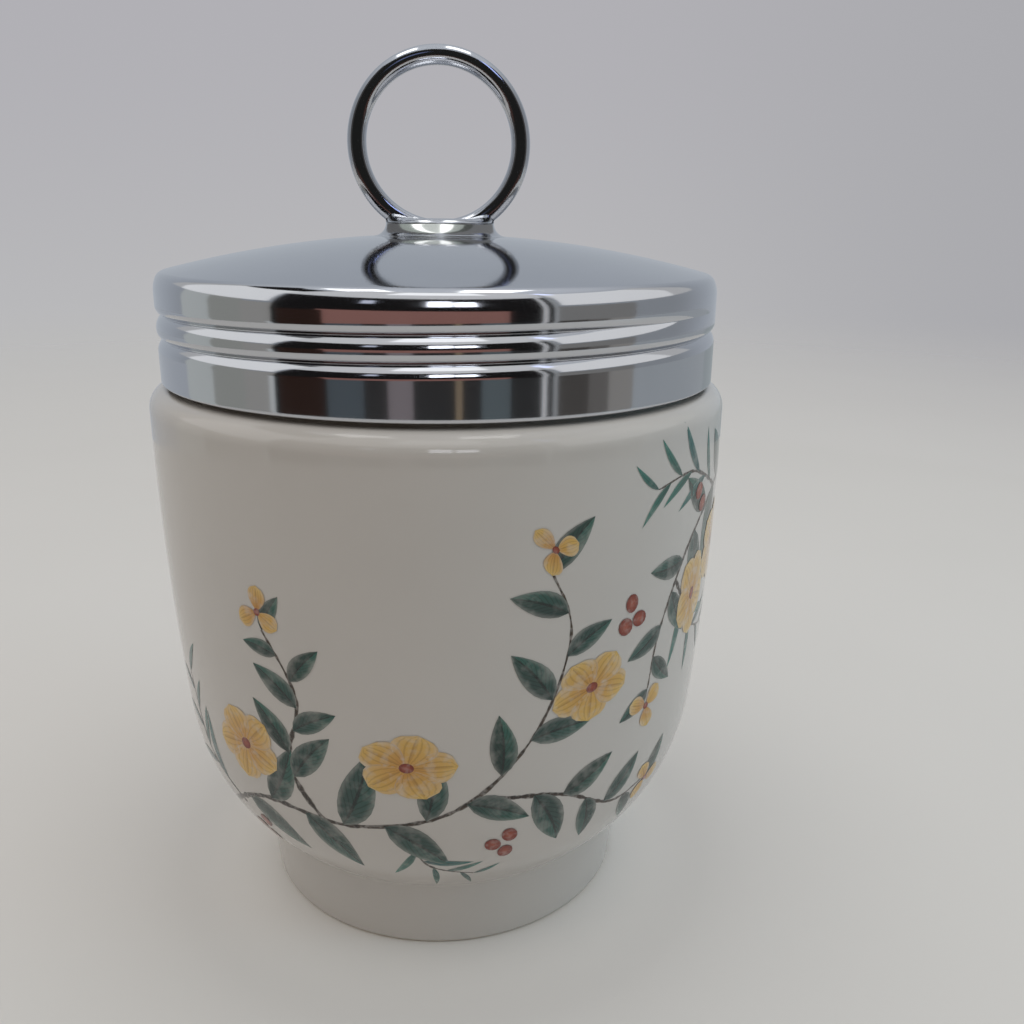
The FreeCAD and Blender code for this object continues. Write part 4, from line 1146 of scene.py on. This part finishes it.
def makeWorld():
    # A pale room: soft light from above, dimmer towards the front. Only reflections see its
    # bluish cast, and the camera sees a plain grey backdrop in its place.
    s = {"zenith": "#F0F1F2", "side": "#BCB9B4", "cool": "#C0C8D2", "front": "#4C3D2E",
         "shineTop": "#DADEE4", "shineLow": "#AFB5BD", "shineSide": "#999DA2",
         "seenTop": "#B1B0B5", "seenLow": "#C3C4C2", "seenRight": "#A9A9AD"}
    # Each change runs along one axis of the direction looked in, from its start to its end.
    changes = {"rise": ("Z", 0.25, 0.95), "forward": ("Y", -0.85, 0.25), "rightward": ("X", -0.3, 0.6),
               "behind": ("Y", 0.2, 0.8), "shineRise": ("Z", 0.45, 0.98), "seenRise": ("Z", -0.45, 0.2),
               "seenSide": ("X", 0.08, 0.62)}
    world = bpy.data.worlds.new("room")
    scene.world = world
    world.use_nodes = True
    tree = world.node_tree
    tree.nodes.clear()
    way = addNode(tree, "ShaderNodeTexCoord").node.outputs["Generated"]
    parts = addNode(tree, "ShaderNodeSeparateXYZ", inputs=[way]).node.outputs
    rays = addNode(tree, "ShaderNodeLightPath").node.outputs
    share = {name: addNode(tree, "ShaderNodeMapRange", {"interpolation_type": "SMOOTHSTEP"},
                           [parts[axis], start, end, 0.0, 1.0]) for name, (axis, start, end) in changes.items()}
    # Each mix is (share, from, to), where a name stands for a colour above or a mix before it.
    shades = {name: colour(value) for name, value in s.items()}
    mixes = {"sides": (share["rightward"], "side", "cool"), "level": (share["forward"], "front", "sides"),
             "room": (share["rise"], "level", "zenith"),
             "shineLevel": (share["behind"], "shineSide", "shineLow"),
             "shine": (share["shineRise"], "shineLevel", "shineTop"),
             "lit": (rays["Is Glossy Ray"], "room", "shine"),
             "seenLevel": (share["seenRise"], "seenLow", "seenTop"),
             "seen": (share["seenSide"], "seenLevel", "seenRight"),
             "shown": (rays["Is Camera Ray"], "lit", "seen")}
    for name, (part, start, end) in mixes.items():
        shades[name] = addNode(tree, "ShaderNodeMix", {"data_type": "RGBA"}, [part, shades[start], shades[end]])
    addNode(tree, "ShaderNodeOutputWorld",
            inputs=[addNode(tree, "ShaderNodeBackground", inputs=[shades["shown"], 1.0])])


def makeLamps():
    # Reflections see the room and the cards, not the lamps.
    lamps = {
        "overhead": {"spot": (0.0, -0.08, 0.80), "target": (0, 0, 0.05), "size": (0.8, 0.6), "watts": 1.7,
                     "shade": "#FFFDF9"},
        "rightWindow": {"spot": (0.40, -0.12, 0.14), "target": (0, 0, 0.04), "size": (0.15, 0.25),
                        "watts": 0.17, "shade": "#9BE1FF"}}
    for name, s in lamps.items():
        data = bpy.data.lights.new(name, "AREA")
        data.shape = "RECTANGLE"
        data.size, data.size_y = s["size"]
        data.energy = s["watts"]
        data.color = colour(s["shade"])[:3]
        lamp = bpy.data.objects.new(name, data)
        scene.collection.objects.link(lamp)
        lamp.location = s["spot"]
        lamp.rotation_euler = (Vector(s["target"]) - Vector(s["spot"])).to_track_quat("-Z", "Y").to_euler()
        lamp.visible_glossy = False


def makeCamera():
    s = {"spot": (0.0, -0.09914, 0.0706), "down": 0.3009, "turn": 0.0757, "roll": 0.0119, "lens": 33.40,
         "sensor": 36.0, "near": 0.005, "far": 50.0}
    forward = Vector((math.sin(s["turn"]) * math.cos(s["down"]), math.cos(s["turn"]) * math.cos(s["down"]),
                      -math.sin(s["down"])))
    right = Vector((math.cos(s["turn"]), -math.sin(s["turn"]), 0))
    up = right.cross(forward)
    across = right * math.cos(s["roll"]) + up * math.sin(s["roll"])
    upward = up * math.cos(s["roll"]) - right * math.sin(s["roll"])
    data = bpy.data.cameras.new("camera")
    data.lens, data.sensor_width = s["lens"], s["sensor"]
    data.clip_start, data.clip_end = s["near"], s["far"]
    camera = bpy.data.objects.new("camera", data)
    scene.collection.objects.link(camera)
    aimed = Matrix((across, upward, -forward)).transposed().to_4x4()
    camera.matrix_world = Matrix.Translation(s["spot"]) @ aimed
    scene.camera = camera


makeFloor()
makeFlags()
makeWorld()
makeLamps()
makeCamera()
scene.view_settings.view_transform = "Standard"
print("stage made")
